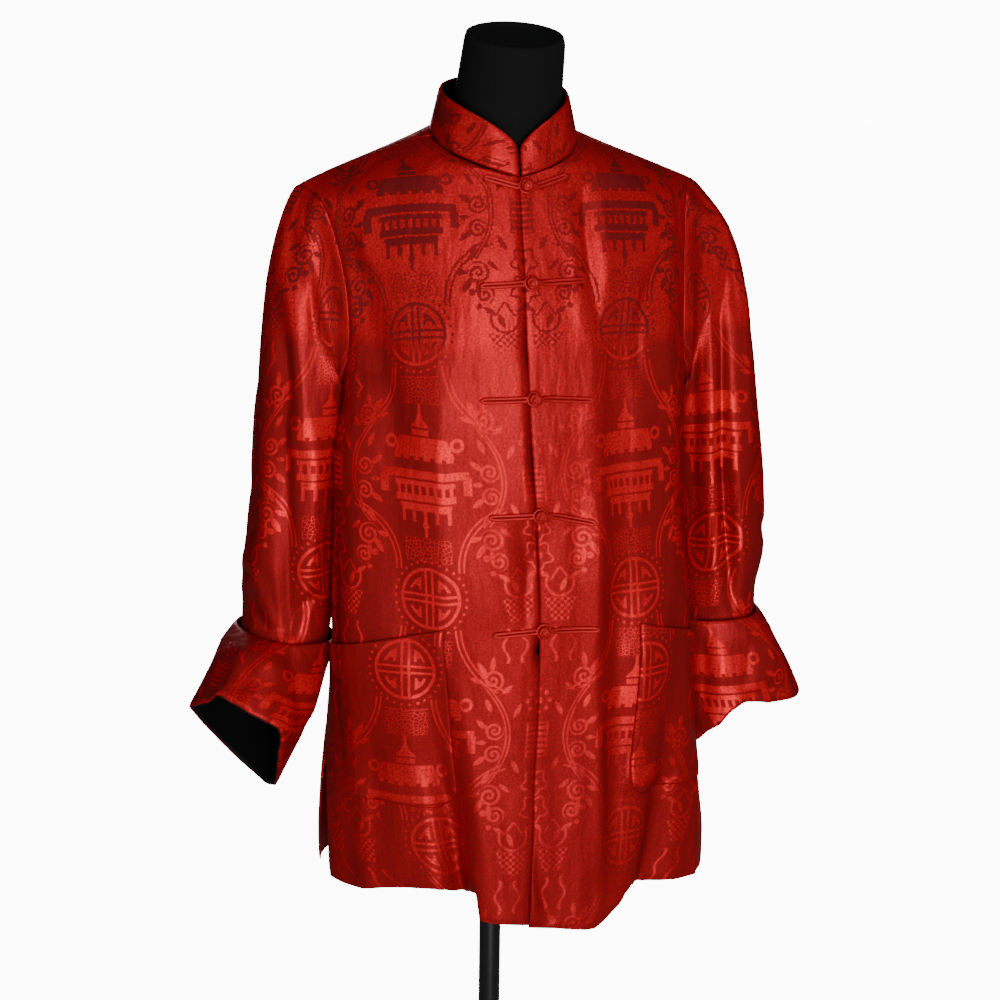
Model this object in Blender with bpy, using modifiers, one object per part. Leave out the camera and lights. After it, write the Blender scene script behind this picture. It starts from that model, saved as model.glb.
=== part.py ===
"""Tang jacket worn on a limbless dress form, pole and round base.

Metres, +Z up, the jacket's front faces -Y.  The origin lies on the floor under the pole.
Left and right are the wearer's: the right front is on the -X side.
"""
import math
from collections import namedtuple

import bmesh
import bpy
import numpy as np

# ---------------------------------------------------------------- driving sizes
CLOTH = 0.0016            # quilted thickness of shell cloth with its interlining
COLLAR_WALL = 0.0022      # the stand collar is stiffened
LINING = 0.0010           # lining cloth inside the collar and the cuffs
SEAM = 0.0004             # space left where two sewn pieces meet
LAY = 0.0005              # space under a piece that lies on another
POCKET_LAY = 0.0012       # the patch pockets stand a little off the fronts
FRONT_EDGE = 0.0005       # each front stops this far from the opening line
CORD = 0.0017             # radius of the cord the frogs are tied from
KNOT_RADIUS = 0.0062      # ball knot of a frog
KNOT_SHIFT = 0.0035       # the knots sit a little to the left of the opening
POLE_RADIUS = 0.0115
BASE_RADIUS = 0.165
BASE_THICK = 0.014
FORM_BOTTOM = 0.735

NECK_X = -0.0028          # middle of the neckline
NECK_Y = -0.025
NECK_HALF_WIDTH = 0.0738
NECK_FRONT = 0.078
NECK_BACK = 0.070
NECK_LOW = 1.374          # neckline height at the opening
NECK_RISE = 0.051         # rise from the opening to the nape
COLLAR_LOW = 1.396        # top of the collar at the opening
COLLAR_RISE = 0.066       # rise of its top edge from the opening to the nape
COLLAR_LEAN = 0.0095      # the collar closes in towards its top

# One row per level of a front, hem to shoulder, in metres.  neck: angle round the neckline in degrees;
# flat: how far the cloth runs flat before it turns; turn: handle of the turn into the side;
# cut: share of the line kept, the armhole taking the rest; fall: how late the line drops outwards.
Level = namedtuple("Level", "z_in x_in y_in neck z_right z_left x_right x_left y_out flat turn_right turn_left turn_y "
                            "cut fall_right fall_left")
FRONT_ROWS = [
    Level(0.617, 0.002, -0.168, 0, 0.640, 0.622, -0.183, 0.222, -0.045, 0.46, -0.016, -0.016, 0.052, 1, 0.800, 0.80),
    Level(0.660, 0.003, -0.167, 0, 0.677, 0.664, -0.184, 0.223, -0.043, 0.48, -0.014, -0.014, 0.054, 1, 0.800, 0.80),
    Level(0.720, 0.005, -0.166, 0, 0.730, 0.720, -0.184, 0.216, -0.037, 0.52, -0.010, 0.000, 0.058, 1, 0.80, 1.00),
    Level(0.780, 0.006, -0.165, 0, 0.785, 0.780, -0.182, 0.200, -0.022, 0.58, 0.004, 0.030, 0.070, 1, 1.00, 1.00),
    Level(0.860, 0.009, -0.165, 0, 0.860, 0.860, -0.163, 0.185, -0.018, 0.66, 0.042, 0.046, 0.085, 1, 1.00, 1.00),
    Level(0.940, 0.009, -0.165, 0, 0.938, 0.938, -0.157, 0.174, -0.015, 0.72, 0.068, 0.062, 0.092, 1, 1.00, 1.00),
    Level(1.030, 0.005, -0.164, 0, 1.026, 1.026, -0.149, 0.167, -0.010, 0.73, 0.078, 0.064, 0.094, 1, 1.00, 1.00),
    Level(1.100, 0.000, -0.161, 0, 1.092, 1.092, -0.147, 0.165, -0.005, 0.72, 0.076, 0.062, 0.094, 1, 1.10, 1.10),
    Level(1.150, -0.003, -0.157, 0, 1.136, 1.136, -0.150, 0.169, 0.000, 0.71, 0.064, 0.052, 0.092, 1, 1.20, 1.20),
    Level(1.190, -0.004, -0.152, 0, 1.168, 1.168, -0.156, 0.176, 0.002, 0.69, 0.046, 0.038, 0.090, 0.82, 1.30, 1.30),
    Level(1.235, -0.005, -0.145, 0, 1.205, 1.205, -0.164, 0.182, 0.004, 0.66, 0.030, 0.030, 0.086, 0.73, 1.30, 1.30),
    Level(1.285, -0.005, -0.134, 0, 1.256, 1.256, -0.175, 0.190, 0.006, 0.62, 0.022, 0.022, 0.078, 0.70, 1.30, 1.30),
    Level(1.335, -0.005, -0.119, 0, 1.312, 1.312, -0.188, 0.196, 0.006, 0.56, 0.012, 0.012, 0.066, 0.74, 1.30, 1.30),
    Level(1.374, -0.004, -0.103, 0, 1.341, 1.343, -0.200, 0.200, -0.002, 0.48, 0.000, 0.000, 0.050, 0.8, 1.30, 1.20),
    Level(1.374, -0.004, -0.103, 32, 1.350, 1.353, -0.206, 0.202, -0.001, 0.40, -0.016, -0.016, 0.032, 0.88, 1.30, 1.15),
    Level(1.374, -0.004, -0.103, 62, 1.355, 1.358, -0.208, 0.203, 0.000, 0.35, -0.032, -0.032, 0.014, 0.95, 1.30, 1.15),
    Level(1.374, -0.004, -0.103, 90, 1.357, 1.359, -0.208, 0.203, 0.002, 0.33, -0.044, -0.044, 0.000, 1, 1.30, 1.10),
]
# One row per level of the back, hem to shoulder, in the same columns.
BACK_ROWS = [
    Level(0.618, 0.012, 0.140, 180, 0.646, 0.610, -0.188, 0.224, -0.010, 0.55, -0.010, -0.010, -0.070, 1, 0.80, 0.80),
    Level(0.660, 0.012, 0.138, 180, 0.684, 0.656, -0.189, 0.224, -0.012, 0.55, -0.008, -0.008, -0.070, 1, 0.80, 0.80),
    Level(0.720, 0.012, 0.135, 180, 0.734, 0.718, -0.187, 0.222, -0.015, 0.56, -0.006, -0.006, -0.070, 1, 1.00, 1.00),
    Level(0.780, 0.012, 0.131, 180, 0.785, 0.780, -0.182, 0.200, -0.022, 0.58, 0.000, -0.012, -0.070, 1, 1.00, 1.00),
    Level(0.860, 0.012, 0.127, 180, 0.860, 0.860, -0.163, 0.185, -0.018, 0.58, -0.024, -0.017, -0.064, 1, 1.00, 1.00),
    Level(0.940, 0.011, 0.124, 180, 0.938, 0.938, -0.157, 0.174, -0.015, 0.58, -0.036, -0.034, -0.060, 1, 1.00, 1.00),
    Level(1.030, 0.009, 0.122, 180, 1.026, 1.026, -0.149, 0.167, -0.010, 0.58, -0.036, -0.034, -0.058, 1, 1.00, 1.00),
    Level(1.100, 0.006, 0.123, 180, 1.092, 1.092, -0.147, 0.165, -0.005, 0.58, -0.036, -0.034, -0.060, 1, 1.10, 1.10),
    Level(1.150, 0.003, 0.125, 180, 1.136, 1.136, -0.150, 0.169, 0.000, 0.58, -0.034, -0.034, -0.063, 1, 1.20, 1.20),
    Level(1.205, 0.001, 0.126, 180, 1.168, 1.168, -0.156, 0.176, 0.002, 0.59, -0.028, -0.022, -0.070, 0.82, 1.30, 1.30),
    Level(1.265, -0.001, 0.122, 180, 1.206, 1.206, -0.164, 0.182, 0.004, 0.60, -0.010, -0.010, -0.074, 0.72, 1.30, 1.30),
    Level(1.328, -0.003, 0.108, 180, 1.256, 1.256, -0.175, 0.190, 0.006, 0.60, 0.000, 0.000, -0.072, 0.70, 1.20, 1.20),
    Level(1.385, -0.003, 0.080, 180, 1.312, 1.312, -0.188, 0.196, 0.006, 0.56, 0.000, 0.000, -0.060, 0.74, 1.00, 1.00),
    Level(1.425, -0.0035, 0.045, 180, 1.341, 1.343, -0.200, 0.200, 0.014, 0.48, -0.006, -0.006, -0.044, 0.8, 0.85, 0.85),
    Level(1.425, -0.003, 0.045, 148, 1.350, 1.353, -0.206, 0.202, 0.010, 0.42, -0.020, -0.020, -0.028, 0.88, 0.80, 0.80),
    Level(1.425, -0.003, 0.045, 118, 1.355, 1.358, -0.208, 0.203, 0.006, 0.36, -0.034, -0.034, -0.012, 0.95, 0.95, 0.90),
    Level(1.425, -0.003, 0.045, 90, 1.357, 1.359, -0.208, 0.203, 0.002, 0.33, -0.044, -0.044, 0.000, 1, 1.30, 1.10),
]
UNDERARM_ROW = 8          # the armhole starts at this level
NECK_ROW = 13             # the neckline starts at this level and runs round to the shoulder seam

# Soft upright folds of a panel: place 0 opening or back line .. 1 side edge; drift: how far the fold
# moves by the hem; depth: outward; sag: how far it lifts the hem.
Fold = namedtuple("Fold", "piece place drift width depth sag row_low row_high")
FOLDS = [
    Fold("front_right", 0.36, -0.08, 0.050, -0.028, 0.004, 0, 5.5),
    Fold("front_right", 0.16, -0.02, 0.080, 0.004, 0.000, 0, 6),
    Fold("front_right", 0.50, 0.00, 0.180, 0.000, 0.020, 0, 5),
    Fold("front_right", 0.66, 0.02, 0.070, 0.006, 0.000, 0, 6),
    Fold("front_left", 0.52, 0.00, 0.080, -0.026, 0.008, 0, 5.5),
    Fold("front_left", 0.26, 0.00, 0.120, 0.004, -0.012, 0, 5),
    Fold("front_left", 0.76, 0.00, 0.060, 0.006, 0.000, 0, 6),
    Fold("back", 0.45, 0.00, 0.060, -0.012, 0.000, 0, 7),
    Fold("back", -0.50, 0.00, 0.060, -0.012, 0.000, 0, 7),
    Fold("back", 0.05, 0.00, 0.080, 0.007, 0.000, 0, 7),
]

# One row per ring of a sleeve below the armhole, then down into the cuff.  lean_out and lean_fore turn
# the ring's axis from straight down and spin turns the ring about its axis, in degrees.
Ring = namedtuple("Ring", "x y z half_out half_fore lean_out lean_fore spin square")
SLEEVE_RIGHT = [
    Ring(-0.2050, 0.020, 1.100, 0.0470, 0.066, 3, 0, 0, 2.2),
    Ring(-0.2085, 0.019, 1.030, 0.0480, 0.066, 4, 2, 0, 2.2),
    Ring(-0.2160, 0.015, 0.965, 0.0480, 0.062, 5, 6, 6, 2.2),
    Ring(-0.2175, 0.010, 0.920, 0.0440, 0.056, 5, 6, 10, 2.1),
    Ring(-0.2230, 0.002, 0.890, 0.0415, 0.050, 12, 12, 14, 2.1),
    Ring(-0.2330, -0.014, 0.866, 0.0400, 0.046, 22, 22, 18, 2.0),
]
SLEEVE_LEFT = [
    Ring(0.2300, 0.018, 1.100, 0.0505, 0.070, 3, 0, 0, 2.2),
    Ring(0.2385, 0.018, 1.030, 0.0510, 0.066, 4, 0, 0, 2.2),
    Ring(0.2440, 0.015, 0.965, 0.0500, 0.062, 2, 2, 0, 2.2),
    Ring(0.2405, 0.009, 0.920, 0.0450, 0.056, 3, 2, 0, 2.1),
    Ring(0.2430, 0.003, 0.885, 0.0425, 0.050, 8, 6, 0, 2.1),
    Ring(0.2500, -0.004, 0.857, 0.0420, 0.046, 16, 10, 0, 2.0),
]
CUFF_RIGHT = [
    Ring(-0.2200, 0.006, 0.896, 0.0495, 0.0620, 5, 0, 10, 2.2),
    Ring(-0.2350, -0.010, 0.874, 0.0515, 0.0610, 18, 16, 18, 2.2),
    Ring(-0.2490, -0.037, 0.850, 0.0540, 0.0590, 32, 30, 20, 2.2),
    Ring(-0.2660, -0.062, 0.826, 0.0545, 0.0570, 41, 38, 18, 2.3),
    Ring(-0.2835, -0.088, 0.806, 0.0530, 0.0550, 45, 44, 14, 2.5),
]
CUFF_LEFT = [
    Ring(0.2385, 0.006, 0.898, 0.0495, 0.0610, 3, 0, 0, 2.2),
    Ring(0.2460, 0.000, 0.874, 0.0530, 0.0590, 10, 6, 0, 2.3),
    Ring(0.2550, -0.008, 0.845, 0.0580, 0.0550, 18, 11, 0, 2.3),
    Ring(0.2640, -0.015, 0.815, 0.0630, 0.0500, 23, 14, 0, 2.3),
    Ring(0.2720, -0.022, 0.785, 0.0650, 0.0460, 25, 16, 0, 2.3),
]
CUFF_LINING_START = 2     # the lining starts at this ring of the built cuff

# One row per ring of the dress form, hip to neck rim; x and y are its middle.
Form = namedtuple("Form", "z x y half_width front back square tilt")
FORM_RINGS = [
    Form(0.735, 0.004, 0.000, 0.140, 0.092, 0.094, 2.2, 0),
    Form(0.742, 0.006, 0.000, 0.148, 0.104, 0.098, 2.2, 0),
    Form(0.765, 0.006, 0.000, 0.154, 0.112, 0.103, 2.2, 0),
    Form(0.820, 0.006, 0.000, 0.149, 0.110, 0.100, 2.2, 0),
    Form(0.900, 0.006, 0.000, 0.134, 0.100, 0.092, 2.2, 0),
    Form(0.980, 0.004, 0.000, 0.122, 0.092, 0.088, 2.2, 0),
    Form(1.060, 0.006, 0.000, 0.122, 0.098, 0.086, 2.1, 0),
    Form(1.130, 0.006, -0.002, 0.131, 0.114, 0.092, 2.1, 0),
    Form(1.190, 0.006, -0.002, 0.142, 0.118, 0.100, 2.1, 0),
    Form(1.250, 0.004, 0.000, 0.158, 0.108, 0.106, 2.2, 0),
    Form(1.300, 0.002, 0.000, 0.166, 0.090, 0.098, 2.2, 0),
    Form(1.335, 0.000, 0.000, 0.160, 0.070, 0.082, 2.1, 0),
    Form(1.358, -0.002, 0.000, 0.138, 0.058, 0.068, 2.0, 0),
    Form(1.374, -0.003, -0.004, 0.112, 0.056, 0.058, 2.0, 0),
    Form(1.387, -0.003, -0.012, 0.086, 0.056, 0.056, 2.0, 0),
    Form(1.402, -0.001, -0.022, 0.066, 0.060, 0.058, 2.0, 0),
    Form(1.425, -0.001, -0.026, 0.0560, 0.057, 0.055, 2.0, 3),
    Form(1.465, 0.0025, -0.030, 0.0530, 0.054, 0.052, 2.0, 8),
    Form(1.503, 0.0055, -0.034, 0.0505, 0.051, 0.050, 2.0, 12),
    Form(1.508, 0.0055, -0.0345, 0.0490, 0.0495, 0.0485, 2.0, 12),
]
RIM_WIDTH = 0.007
RECESS = 0.0025

# Pockets: first and last place on the front they cover, heights of the mouth and the bottom.
Pocket = namedtuple("Pocket", "side first last z_in z_out z_bottom corner")
POCKETS = [
    Pocket("right", 0.27, 0.95, 0.932, 0.890, 0.732, 0.032),
    Pocket("left", 0.34, 0.95, 0.926, 0.886, 0.738, 0.032),
]
# Frogs: height of the knot, reach of each bar and how far its end rises.
Frog = namedtuple("Frog", "z reach_right reach_left rise_right rise_left")
FROGS = [
    Frog(1.3645, 0.040, 0.042, 0.009, 0.009),
    Frog(1.2735, 0.050, 0.054, -0.002, 0.001),
    Frog(1.1620, 0.052, 0.060, -0.001, -0.004),
    Frog(1.0460, 0.050, 0.056, -0.001, -0.010),
    Frog(0.9280, 0.050, 0.056, -0.003, -0.001),
]

Finish = namedtuple("Finish", "colour roughness metallic")
FINISHES = {
    "red_damask": Finish((0.46, 0.010, 0.012), 0.42, 0.0),
    "red_cord": Finish((0.36, 0.008, 0.010), 0.50, 0.0),
    "black_lining": Finish((0.008, 0.008, 0.009), 0.55, 0.0),
    "black_jersey": Finish((0.010, 0.010, 0.010), 0.85, 0.0),
    "black_metal": Finish((0.012, 0.012, 0.012), 0.40, 0.6),
}


# ---------------------------------------------------------------- curves and tables
def smooth_between(rows, name, at):
    """Value of one column at a fractional row, on a smooth curve that doesn't overshoot."""
    values = np.array([getattr(row, name) for row in rows], float)
    step = np.diff(values)
    slope = np.zeros(len(values))
    inner = step[:-1] * step[1:] > 0
    mean = 2.0 * step[:-1] * step[1:] / np.where(inner, step[:-1] + step[1:], 1.0)
    slope[1:-1] = np.where(inner, mean, 0.0)
    slope[0], slope[-1] = step[0], step[-1]
    low = int(min(max(math.floor(at), 0), len(values) - 2))
    t = at - low
    return float(values[low] * (1 + 2 * t) * (1 - t) ** 2 + slope[low] * t * (1 - t) ** 2
                 + values[low + 1] * t * t * (3 - 2 * t) + slope[low + 1] * t * t * (t - 1))


def neckline(degrees, sign):
    """Point of the neckline; 0 at the opening, 180 at the nape."""
    angle = math.radians(degrees)
    depth = NECK_FRONT if degrees < 90 else NECK_BACK
    rise = NECK_RISE * abs(math.sin(angle / 2)) ** 1.2
    return np.array([NECK_X + sign * NECK_HALF_WIDTH * math.sin(angle),
                     NECK_Y - depth * math.cos(angle), NECK_LOW + rise])


def fold_shift(piece, place, level):
    """Outward and upward shift of the cloth at a point of a panel, from the fold rows."""
    shift, lift = 0.0, 0.0
    for fold in FOLDS:
        if fold.piece != piece or level > fold.row_high:
            continue
        fade = 1.0 - (level - fold.row_low) / (fold.row_high - fold.row_low)
        middle = fold.place + fold.drift * fade
        bell = math.exp(-((place - middle) / fold.width) ** 2)
        shift += fold.depth * fade ** 1.3 * bell
        lift += fold.sag * fade ** 3 * bell
    return shift, lift


def panel_point(rows, piece, sign, place, level, back):
    """Point on the middle of a panel: place 0 at its middle line, 1 at its outer edge."""
    get = {name: smooth_between(rows, name, level) for name in Level._fields}
    if level > NECK_ROW:
        start = neckline(get["neck"], sign)
    else:
        start = np.array([get["x_in"], get["y_in"], get["z_in"]])
    side = "right" if sign < 0 else "left"
    x_out, z_out = get["x_" + side], get["z_" + side]
    end = np.array([x_out, get["y_out"], z_out])
    flat = start[:2] + np.array([(end[0] - start[0]) * get["flat"], 0.0])
    turn = end[:2] + np.array([sign * get["turn_" + side], -get["turn_y"]])
    t = place * get["cut"]
    weights = ((1 - t) ** 3, 3 * t * (1 - t) ** 2, 3 * t * t * (1 - t), t ** 3)
    flat_xy = sum(w * p for w, p in zip(weights, (start[:2], flat, turn, end[:2])))
    share = min(max((flat_xy[0] - start[0]) / (end[0] - start[0]), 0.0), 1.0)
    height = start[2] + (end[2] - start[2]) * share ** get["fall_" + side]
    tangent = 3 * ((1 - t) ** 2 * (flat - start[:2]) + 2 * t * (1 - t) * (turn - flat)
                   + t * t * (end[:2] - turn))
    outward = np.array([tangent[1], -tangent[0]]) * sign
    outward = -outward if back else outward
    outward /= max(np.linalg.norm(outward), 1e-9)
    shift, lift = fold_shift(piece, place * (sign if piece == "back" else 1), level)
    return np.array([flat_xy[0] + outward[0] * shift, flat_xy[1] + outward[1] * shift, height + lift])


def panel_grid(rows, piece, sign, places, levels, back=False):
    """Grid of panel points, one line of it per level."""
    return np.array([[panel_point(rows, piece, sign, place, level, back) for place in places]
                     for level in levels])


def grid_normals(grid, outward_from, wrap=False):
    """Unit normals of a grid of points, turned away from a middle line."""
    along = np.gradient(grid, axis=0, edge_order=2)
    if wrap:
        across = np.roll(grid, -1, axis=1) - np.roll(grid, 1, axis=1)
    else:
        across = np.gradient(grid, axis=1, edge_order=2)
    normals = np.cross(across, along)
    normals /= np.maximum(np.linalg.norm(normals, axis=2, keepdims=True), 1e-12)
    side = np.sum(normals * (grid - outward_from(grid)), axis=2, keepdims=True)
    return normals * (1.0 if side.sum() > 0 else -1.0)


def pull_in(grid, axis, end, gap):
    """Shorten a grid at one of its edges by a sewing gap."""
    moved = np.moveaxis(grid, axis, 0)
    edge, inner = (moved[0], moved[1]) if end == "first" else (moved[-1], moved[-2])
    step = inner - edge
    step = step / np.maximum(np.linalg.norm(step, axis=-1, keepdims=True), 1e-12) * gap
    moved[0 if end == "first" else -1] = edge + step


def trunk_axis(grid):
    """Points on the middle line of the body at each point's own height."""
    middle = np.zeros_like(grid)
    middle[..., 2] = np.minimum(grid[..., 2], 1.28)
    return middle


# ---------------------------------------------------------------- meshes
def new_collection(name):
    collection = bpy.data.collections.new(name)
    bpy.context.scene.collection.children.link(collection)
    return collection


def material_for(name, kind):
    finish = FINISHES[kind]
    material = bpy.data.materials.new(name)
    material.use_nodes = True
    shader = material.node_tree.nodes["Principled BSDF"]
    shader.inputs["Base Color"].default_value = (*finish.colour, 1.0)
    shader.inputs["Roughness"].default_value = finish.roughness
    shader.inputs["Metallic"].default_value = finish.metallic
    material.diffuse_color = (*finish.colour, 1.0)
    return material


def mesh_object(name, points, faces, kind, weld=0.0):
    """Closed, smooth shaded object from points and faces, with its faces turned outward."""
    mesh = bpy.data.meshes.new(name)
    mesh.from_pydata([tuple(p) for p in points], [], faces)
    work = bmesh.new()
    work.from_mesh(mesh)
    if weld:
        bmesh.ops.remove_doubles(work, verts=work.verts, dist=weld)
    bmesh.ops.recalc_face_normals(work, faces=work.faces)
    if work.calc_volume(signed=True) < 0:
        bmesh.ops.reverse_faces(work, faces=work.faces)
    work.to_mesh(mesh)
    work.free()
    mesh.shade_smooth()
    mesh.materials.append(material_for(name, kind))
    made = bpy.data.objects.new(name, mesh)
    JACKET.objects.link(made)
    return made


def quads(rows, columns, wrap=False):
    """Faces of a grid of points kept row by row."""
    across = columns if wrap else columns - 1
    return [(r * columns + c, r * columns + (c + 1) % columns,
             (r + 1) * columns + (c + 1) % columns, (r + 1) * columns + c)
            for r in range(rows - 1) for c in range(across)]


def cloth_solid(name, points, normals, faces, wall, kind):
    """Cloth of even thickness about its middle surface, closed round every free edge."""
    count = len(points)
    outer = points + normals * wall / 2
    inner = points - normals * wall / 2
    edge_uses = {}
    for face in faces:
        for a, b in zip(face, face[1:] + face[:1]):
            edge_uses.setdefault((min(a, b), max(a, b)), []).append((a, b))
    sides = [(a, b, b + count, a + count) for uses in edge_uses.values() if len(uses) == 1
             for a, b in uses]
    under = [tuple(i + count for i in reversed(face)) for face in faces]
    return mesh_object(name, np.concatenate([outer, inner]), faces + under + sides, kind)


def tube_solid(name, rings, kind):
    """Solid through closed rings, with a flat face at each end."""
    rings = np.asarray(rings)
    rows, columns = rings.shape[:2]
    faces = quads(rows, columns, wrap=True)
    faces.append(tuple(range(columns)))
    faces.append(tuple((rows - 1) * columns + c for c in range(columns)))
    return mesh_object(name, rings.reshape(-1, 3), faces, kind)


def superellipse(count, half_a, half_b, power, start=0.0):
    """Points round a superellipse as (a, b) pairs."""
    angles = start + np.arange(count) * math.tau / count
    c, s = np.cos(angles), np.sin(angles)
    return np.stack([half_a * np.sign(c) * np.abs(c) ** (2 / power),
                     half_b * np.sign(s) * np.abs(s) ** (2 / power)], axis=1)


# ---------------------------------------------------------------- body of the jacket
def levels_between(first, last, per_row):
    count = int(round((last - first) * per_row))
    return [first + (last - first) * i / count for i in range(count + 1)]


BODY_LEVELS = levels_between(0, 8, 1.5) + levels_between(8, 13, 1.4)[1:] + levels_between(13, 16, 2)[1:]
PLACES = [0, 0.06, 0.13, 0.20, 0.27, 0.34, 0.42, 0.50, 0.58, 0.66, 0.74, 0.82, 0.89, 0.95, 1.0]
SLIT_ROW = 3              # front and back part below this level


def body_panels():
    """Middle points and normals of both fronts and both halves of the back."""
    grids = {
        "front_right": panel_grid(FRONT_ROWS, "front_right", -1, PLACES, BODY_LEVELS),
        "front_left": panel_grid(FRONT_ROWS, "front_left", 1, PLACES, BODY_LEVELS),
        "back_right": panel_grid(BACK_ROWS, "back", -1, PLACES, BODY_LEVELS, back=True),
        "back_left": panel_grid(BACK_ROWS, "back", 1, PLACES, BODY_LEVELS, back=True),
    }
    seam = [i for i, level in enumerate(BODY_LEVELS) if SLIT_ROW <= level <= UNDERARM_ROW]
    for side in ("right", "left"):
        front, back = grids["front_" + side], grids["back_" + side]
        back[seam, -1] = front[seam, -1]
        back[-1] = front[-1]
    normals = {name: grid_normals(grid, trunk_axis) for name, grid in grids.items()}
    for side in ("right", "left"):
        front, back = normals["front_" + side], normals["back_" + side]
        front[seam, -1] = back[seam, -1] = unit(front[seam, -1] + back[seam, -1])
        front[-1] = back[-1] = unit(front[-1] + back[-1])
    right, left = normals["back_right"], normals["back_left"]
    below = BODY_LEVELS.index(NECK_ROW) + 1
    right[:below, 0] = left[:below, 0] = unit(right[:below, 0] + left[:below, 0])
    return grids, normals


def unit(vectors):
    """Vectors scaled to length one."""
    return vectors / np.maximum(np.linalg.norm(vectors, axis=-1, keepdims=True), 1e-12)


def armhole_loop(grids, normals, side):
    """Outer edge points from the underarm up the front and down the back, and their normals."""
    first = BODY_LEVELS.index(UNDERARM_ROW)
    front, back = grids["front_" + side], grids["back_" + side]
    front_n, back_n = normals["front_" + side], normals["back_" + side]
    points = np.concatenate([front[first:, -1], back[first + 1:-1, -1][::-1]])
    facing = np.concatenate([front_n[first:, -1], back_n[first + 1:-1, -1][::-1]])
    return points, facing


def build_body(grids, normals):
    """The two fronts and the back as cloth solids."""
    for side in ("right", "left"):
        grid = grids["front_" + side].copy()
        pull_in(grid, 1, "first", FRONT_EDGE)
        pull_in(grid, 1, "last", SEAM / 2)
        pull_in(grid, 0, "last", SEAM / 2)
        cloth_solid("front_" + side, grid.reshape(-1, 3), normals["front_" + side].reshape(-1, 3),
                    quads(*grid.shape[:2]), CLOTH, "red_damask")
    points, facing, faces = [], [], []
    halves = []
    for side in ("right", "left"):
        grid = grids["back_" + side].copy()
        pull_in(grid, 1, "last", SEAM / 2)
        pull_in(grid, 0, "last", SEAM / 2)
        halves.append(grid)
    rows, columns = halves[0].shape[:2]
    lowest_neck = BODY_LEVELS.index(NECK_ROW)
    welded = {}
    for half, grid in enumerate(halves):
        name = "back_" + ("right", "left")[half]
        for r in range(rows):
            for c in range(columns):
                if half == 1 and c == 0 and r <= lowest_neck:
                    welded[half, r, c] = welded[0, r, c]
                    continue
                welded[half, r, c] = len(points)
                points.append(grid[r, c])
                facing.append(normals[name][r, c])
        for r in range(rows - 1):
            for c in range(columns - 1):
                face = (welded[half, r, c], welded[half, r, c + 1],
                        welded[half, r + 1, c + 1], welded[half, r + 1, c])
                faces.append(face if half else face[::-1])
    cloth_solid("back", np.array(points), np.array(facing), faces, CLOTH, "red_damask")


# ---------------------------------------------------------------- sleeves, cuffs, collar
def ring_points(ring, count, sign):
    """Points round one ring, from the side next to the body over the front to the outer side."""
    out, fore = math.radians(ring.lean_out), math.radians(ring.lean_fore)
    axis = np.array([sign * math.tan(out), -math.tan(fore), -1.0])
    axis /= np.linalg.norm(axis)
    outward = np.cross(np.array([0.0, 1.0, 0.0]), axis) * -sign
    outward /= np.linalg.norm(outward)
    forward = np.cross(axis, outward)
    forward *= -1.0 if forward[1] > 0 else 1.0
    spin = math.radians(ring.spin)
    outward, forward = (outward * math.cos(spin) + forward * math.sin(spin),
                        forward * math.cos(spin) - outward * math.sin(spin))
    outline = superellipse(count, ring.half_out, ring.half_fore, ring.square)
    centre = np.array([ring.x, ring.y, ring.z])
    return np.array([centre - a * outward + b * forward for a, b in outline])


def ring_rows(rows, count, sign, per_row, first=0.0):
    """Rings interpolated between the rows of a sleeve or cuff table."""
    rings = []
    for level in levels_between(first, len(rows) - 1, per_row):
        ring = Ring(*[smooth_between(rows, name, level) for name in Ring._fields])
        rings.append(ring_points(ring, count, sign))
    return np.array(rings)


def tube_axis(grid):
    """Middle of each ring of a tube."""
    return np.broadcast_to(grid.mean(axis=1, keepdims=True), grid.shape)


def sleeve_grid(loop, facing, rows, sign, fullness, cap_rows=6):
    """Rings of a sleeve from its armhole to the end inside the cuff."""
    count = len(loop)
    lower = ring_rows(rows, count, sign, 2)
    start = loop.copy()
    height = (loop[:, 2] - loop[:, 2].min()) / np.ptp(loop[:, 2])
    target = lower[0]
    along = np.roll(loop, -1, axis=0) - np.roll(loop, 1, axis=0)
    away = unit(np.cross(facing, along))
    away *= np.sign(np.sum(away * np.array([sign, 0.0, -0.3]), axis=1, keepdims=True))
    blend = np.clip(height * 1.8, 0.0, 1.0)[:, None]
    first_way = away * blend + unit(np.array([sign, 0.0, -0.25])) * (1 - blend)
    for _ in range(7):
        first_way = unit(first_way * 2 + np.roll(first_way, 1, axis=0) + np.roll(first_way, -1, axis=0))
    start = start + first_way * SEAM
    span = np.linalg.norm(target - start, axis=1, keepdims=True)
    end_way = lower[1] - lower[0]
    end_way /= np.linalg.norm(end_way, axis=1, keepdims=True)
    rings = []
    for step in range(cap_rows):
        t = (step / cap_rows) ** 1.15
        h0, h1 = (1 + 2 * t) * (1 - t) ** 2, t * t * (3 - 2 * t)
        g0, g1 = t * (1 - t) ** 2, t * t * (t - 1)
        rings.append(h0 * start + h1 * target + g0 * first_way * span * fullness
                     + g1 * end_way * span * 1.15)
    return np.concatenate([np.array(rings), lower])


CAP_FULLNESS = {"right": 0.50, "left": 1.15}
RING_COLUMNS = 20


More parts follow.
